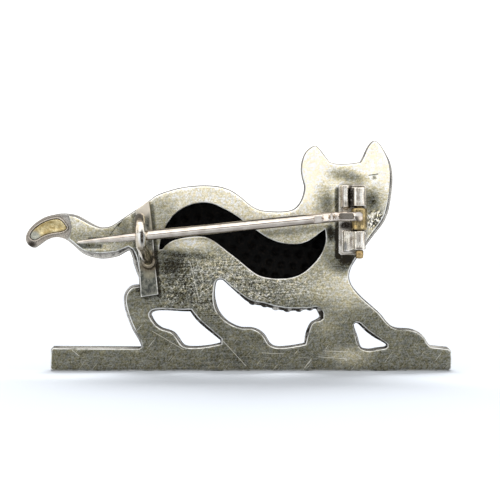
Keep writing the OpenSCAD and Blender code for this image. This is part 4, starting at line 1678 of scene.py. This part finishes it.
def recast(node, name, finish, voxel, passes, wobble):
    """A copy of a CAD node with its edges softened and its faces uneven, as filed metal is.

    voxel is the size of its faces and wobble the height of its unevenness, both in mm."""
    made = softened(node, name, voxel, passes)
    mesh = made.data
    places = np.array([v.co for v in mesh.vertices])
    lumps = np.array([noise.noise(Vector(p) * FILED_SCALE) for p in places])
    normals = np.array([v.normal for v in mesh.vertices])
    ends = np.array([e.vertices for e in mesh.edges])
    around = smeared(places, ends)
    bent = ((places - around) * normals).sum(1)[:, None] / voxel
    for _ in range(EDGE_PASSES):
        bent = smeared(bent, ends)
    mesh.attributes.new("edge", "FLOAT", "POINT").data.foreach_set("value", bent[:, 0] * EDGE_GAIN)
    places += normals * (wobble * lumps)[:, None]
    mesh.vertices.foreach_set("co", places.ravel())
    mesh.transform(Matrix.Scale(MM, 4))
    mesh.materials.clear()
    mesh.materials.append(finish)
    for polygon in mesh.polygons:
        polygon.use_smooth = True
    return made


def build_catch(silver):
    hook = recast("catch", "hook", silver, voxel=0.045, passes=7, wobble=0.012)
    return settle(hook, "brooch", "catch")


def build_hinge(silver):
    hinge = recast("hinge_plate", "hinge", silver, voxel=0.04, passes=8, wobble=0.015)
    return settle(hinge, "brooch", "hinge_plate")


# Pin stem

STEM_Y = (STEM_LOW[1] + STEM_HIGH[1]) / 2
STEM_R = (STEM_HIGH[1] - STEM_LOW[1]) / 2
ROOT_R = STEM_R * 0.94
POINT_R = 0.13
# Root, bend and point of the stem in the photograph, and the share that keeps its full thickness
ROOT = (357.7, 217)
BEND = (336, 217)
POINT = (79, 242.3)
STRAIGHT = 0.72
# Filed flats towards the viewer: where they start and end across the photograph, how much of the
# radius is left there, and how they lean
FLATS = [
    (313, 321.5, 0.72, 0.3),
    (322.5, 327.5, 0.68, -0.15),
    (328.5, 332.5, 0.66, 0.05),
    (333.5, 336, 0.7, -0.1),
    (337.5, 352, 0.62, -0.02),
]
# Slope of the pinched end of the stem, and how hollow it is
ROOT_SLOPE = 0.93
ROOT_HOLLOW = 0.1


def pinched(root, y, z):
    """How far the slanted, slightly hollow end of the stem reaches at a point across it."""
    off = ((y - STEM_Y) ** 2 + (z - root[1]) ** 2) / ROOT_R**2
    return root[0] + ROOT_SLOPE * (y - STEM_Y) - ROOT_HOLLOW * (1 - min(1, off))


# Points round the wire, and how many rings its root and its shaft have
WIRE_POINTS = 40
ROOT_RINGS = 34
SHAFT_RINGS = 230
# Shares of the pinched end's width at which it has rings, from its middle
END_SHARES = (0.15, 0.4, 0.65, 0.85)


def stem_stations():
    """Middle, direction and radius of the wire from its root over the bend to the point."""
    root, bend, point = spots((ROOT, BEND, POINT))
    stations = []
    for t in np.linspace(-0.25, 0.97, ROOT_RINGS):
        stations.append((root + (bend - root) * t, bend - root, ROOT_R))
    for t in np.linspace(0.004, 1, SHAFT_RINGS):
        radius = STEM_R
        if t >= STRAIGHT:
            radius = STEM_R + (POINT_R - STEM_R) * (t - STRAIGHT) / (1 - STRAIGHT)
        stations.append((bend + (point - bend) * t, point - bend, radius))
    return stations


def flat_at(place):
    """How much of the radius a filed flat leaves there, and how it leans."""
    across = place[0] / PIXEL_X + MIDDLE_PX
    for start, end, share, lean in FLATS:
        if start < across < end:
            return share, lean
    return 1.0, 0


def wire_ring(place, run, radius):
    """Points round the wire, which is rounded off at its point and flat where it is filed."""
    run = run / np.linalg.norm(run)
    side = np.array([-run[1], run[0]])
    closing = 0
    if radius < POINT_R * 1.6:
        closing = max(0, 1 - np.linalg.norm(place - spot(*POINT)) / POINT_R)
    radius = radius * math.sqrt(max(0.02, 1 - closing**2))
    share, lean = flat_at(place)
    ring = []
    for k in range(WIRE_POINTS):
        a = 2 * math.pi * k / WIRE_POINTS
        out = radius * math.cos(a)
        wave = 1 + 0.006 * noise.noise(Vector((place[0] * 0.6, a, 0)))
        towards = max(-radius * math.sin(a) * wave, -radius * share + lean * out)
        x, z = place + side * out * wave
        ring.append((x, STEM_Y + towards, z))
    return ring


def build_stem(silver):
    """One round wire, with a slanted, slightly hollow end at the hinge."""
    root = spot(*ROOT)
    rings = []
    for place, run, radius in stem_stations():
        ring = wire_ring(place, run, radius)
        rings.append([(min(x, pinched(root, y, z)), y, z) for x, y, z in ring])
    ends = []
    for share in END_SHARES:
        end = []
        for _, y, z in rings[0]:
            inner_y = STEM_Y + (y - STEM_Y) * share
            inner_z = root[1] + (z - root[1]) * share
            end.append((pinched(root, inner_y, inner_z), inner_y, inner_z))
        ends.append(end)
    skin = Skin()
    ids = [skin.put(ring) for ring in ends + rings]
    skin.loft(ids)
    skin.face(ids[0][::-1])
    skin.face(ids[-1])
    return settle(skin.piece("stem", [silver], corner=30), "pin", "pin_stem")


# Rivet and knuckle

# Radius of the rivet's shank, length of its upset head, and how round the ends are
SHANK_R = 0.3
HEAD_LENGTH = 0.85
SHANK_ROUND = 0.06
# Head of the rivet from below: share of its radius, and height
HEAD_ROUND = ((0.3, 0), (0.72, 0.03), (0.94, 0.12), (1, 0.28))
# Radius of the knuckle's bore, how round its edges are, and how many rings its wall has
BORE_R = 0.34
KNUCKLE_ROUND = 0.09
KNUCKLE_RINGS = 12
# Points round a turned form, and how uneven it is as a share of its radius
TURNED_SIDES = 48
TURNED_UNEVEN = 0.012


def turned_rod(profile, middle):
    """A form turned about an upright line, open at its ends: rows of radius and height."""
    skin = Skin()
    rings = []
    for radius, z in profile:
        ring = []
        for k in range(TURNED_SIDES):
            a = 2 * math.pi * k / TURNED_SIDES
            uneven = noise.noise(Vector((math.cos(a) * 2, math.sin(a) * 2, z * 1.5)))
            r = radius * (1 + TURNED_UNEVEN * uneven)
            ring.append((middle[0] + r * math.cos(a), middle[1] + r * math.sin(a), z))
        rings.append(skin.put(ring))
    skin.loft(rings)
    return skin, rings


def build_rivet(brass):
    low, high = box_mm("hinge_rivet")
    head_r = (high[0] - low[0]) / 2
    top = low[2] + HEAD_LENGTH
    profile = [(head_r * share, low[2] + height) for share, height in HEAD_ROUND]
    profile += [(head_r, top - SHANK_ROUND), (head_r * 0.93, top)]
    profile += [(SHANK_R, top + 0.01), (SHANK_R, high[2] - SHANK_ROUND), (SHANK_R * 0.8, high[2])]
    skin, rings = turned_rod(profile, (low + high) / 2)
    skin.face(rings[0][::-1])
    skin.face(rings[-1])
    return settle(skin.piece("rivet", [brass]), "brooch", "hinge_rivet")


def build_knuckle(brass):
    low, high = box_mm("pin_knuckle")
    r = (high[0] - low[0]) / 2
    foot, top = low[2], high[2]
    edge = KNUCKLE_ROUND
    outer = [(r - edge, foot), (r - edge * 0.3, foot + edge * 0.3)]
    outer += [(r, z) for z in np.linspace(foot + edge, top - edge, KNUCKLE_RINGS)]
    outer += [(r - edge * 0.3, top - edge * 0.3), (r - edge, top)]
    inner = [(BORE_R, top), (BORE_R, foot)]
    skin, rings = turned_rod(outer + inner, (low + high) / 2)
    skin.bridge(rings[-1], rings[0])
    return settle(skin.piece("knuckle", [brass]), "pin", "pin_knuckle")


# Floor

# Half the width of the floor and how far it lies below the foot in mm, and its colour
FLOOR_HALF = 3000
FLOOR_DOWN = 0.02
PAPER = (0.475, 0.50, 0.535, 1)


def build_floor():
    corners = [(-1, -1, 0), (1, -1, 0), (1, 1, 0), (-1, 1, 0)]
    skin = Skin()
    skin.face(skin.put(np.array(corners) * FLOOR_HALF))
    paper = Finish("paper").shade(Base_Color=PAPER, Roughness=0.9)
    floor = skin.piece("floor", [paper])
    floor.location.z = -FLOOR_DOWN * MM


# The brooch


make_camera()
make_tent()
make_skylight()
build_floor()

silver_sheet = sheet_silver()
silver_cast = cast_silver("cast_silver", 0.9)
silver_seats = cast_silver("seat_silver", 0.35)
inside_black_and_shade = black_and_shaded_inside()
stone_dark = cut_stone()
solder = pale_solder()
silver_catch = worn_metal(
    "catch_silver",
    (0.70, 0.63, 0.53, 1),
    (0.50, 0.43, 0.33, 1),
    (0.05, 0.14),
    marks=0.4,
    deep=((0.07, 0.072, 0.063, 1), (0.245, 0.24, 0.195, 1)),
    patches=CATCH_LIGHT_AND_STAINS,
)
silver_hinge = worn_metal(
    "hinge_silver",
    (0.84, 0.79, 0.70, 1),
    (0.52, 0.46, 0.38, 1),
    (0.17, 0.27),
    marks=0.3,
    dirt_and_shade=0.9,
    reach=0.9,
    patches=HINGE_LIGHT_AND_STAINS,
)
silver_stem = worn_metal(
    "stem_silver",
    (0.76, 0.69, 0.61, 1),
    (0.56, 0.49, 0.42, 1),
    (0.04, 0.12),
    marks=0.2,
    dirt_and_shade=0.6,
    axis=[(ROOT, BEND), (BEND, POINT)],
)
brass_rivet = worn_metal(
    "rivet_brass",
    (0.50, 0.36, 0.17, 1),
    (0.24, 0.17, 0.08, 1),
    (0.16, 0.3),
)
brass_knuckle = worn_metal(
    "knuckle_brass",
    (0.44, 0.34, 0.17, 1),
    (0.22, 0.165, 0.08, 1),
    (0.14, 0.3),
    patches=KNUCKLE_LIGHT_AND_SHADE,
)

seats = find_seats()
build_plate(silver_sheet)
build_front(silver_cast, inside_black_and_shade, seats)
build_stones(seats, silver_seats, stone_dark)
build_filling(solder)
build_catch(silver_catch)
build_hinge(silver_hinge)
build_rivet(brass_rivet)
build_knuckle(brass_knuckle)
build_stem(silver_stem)
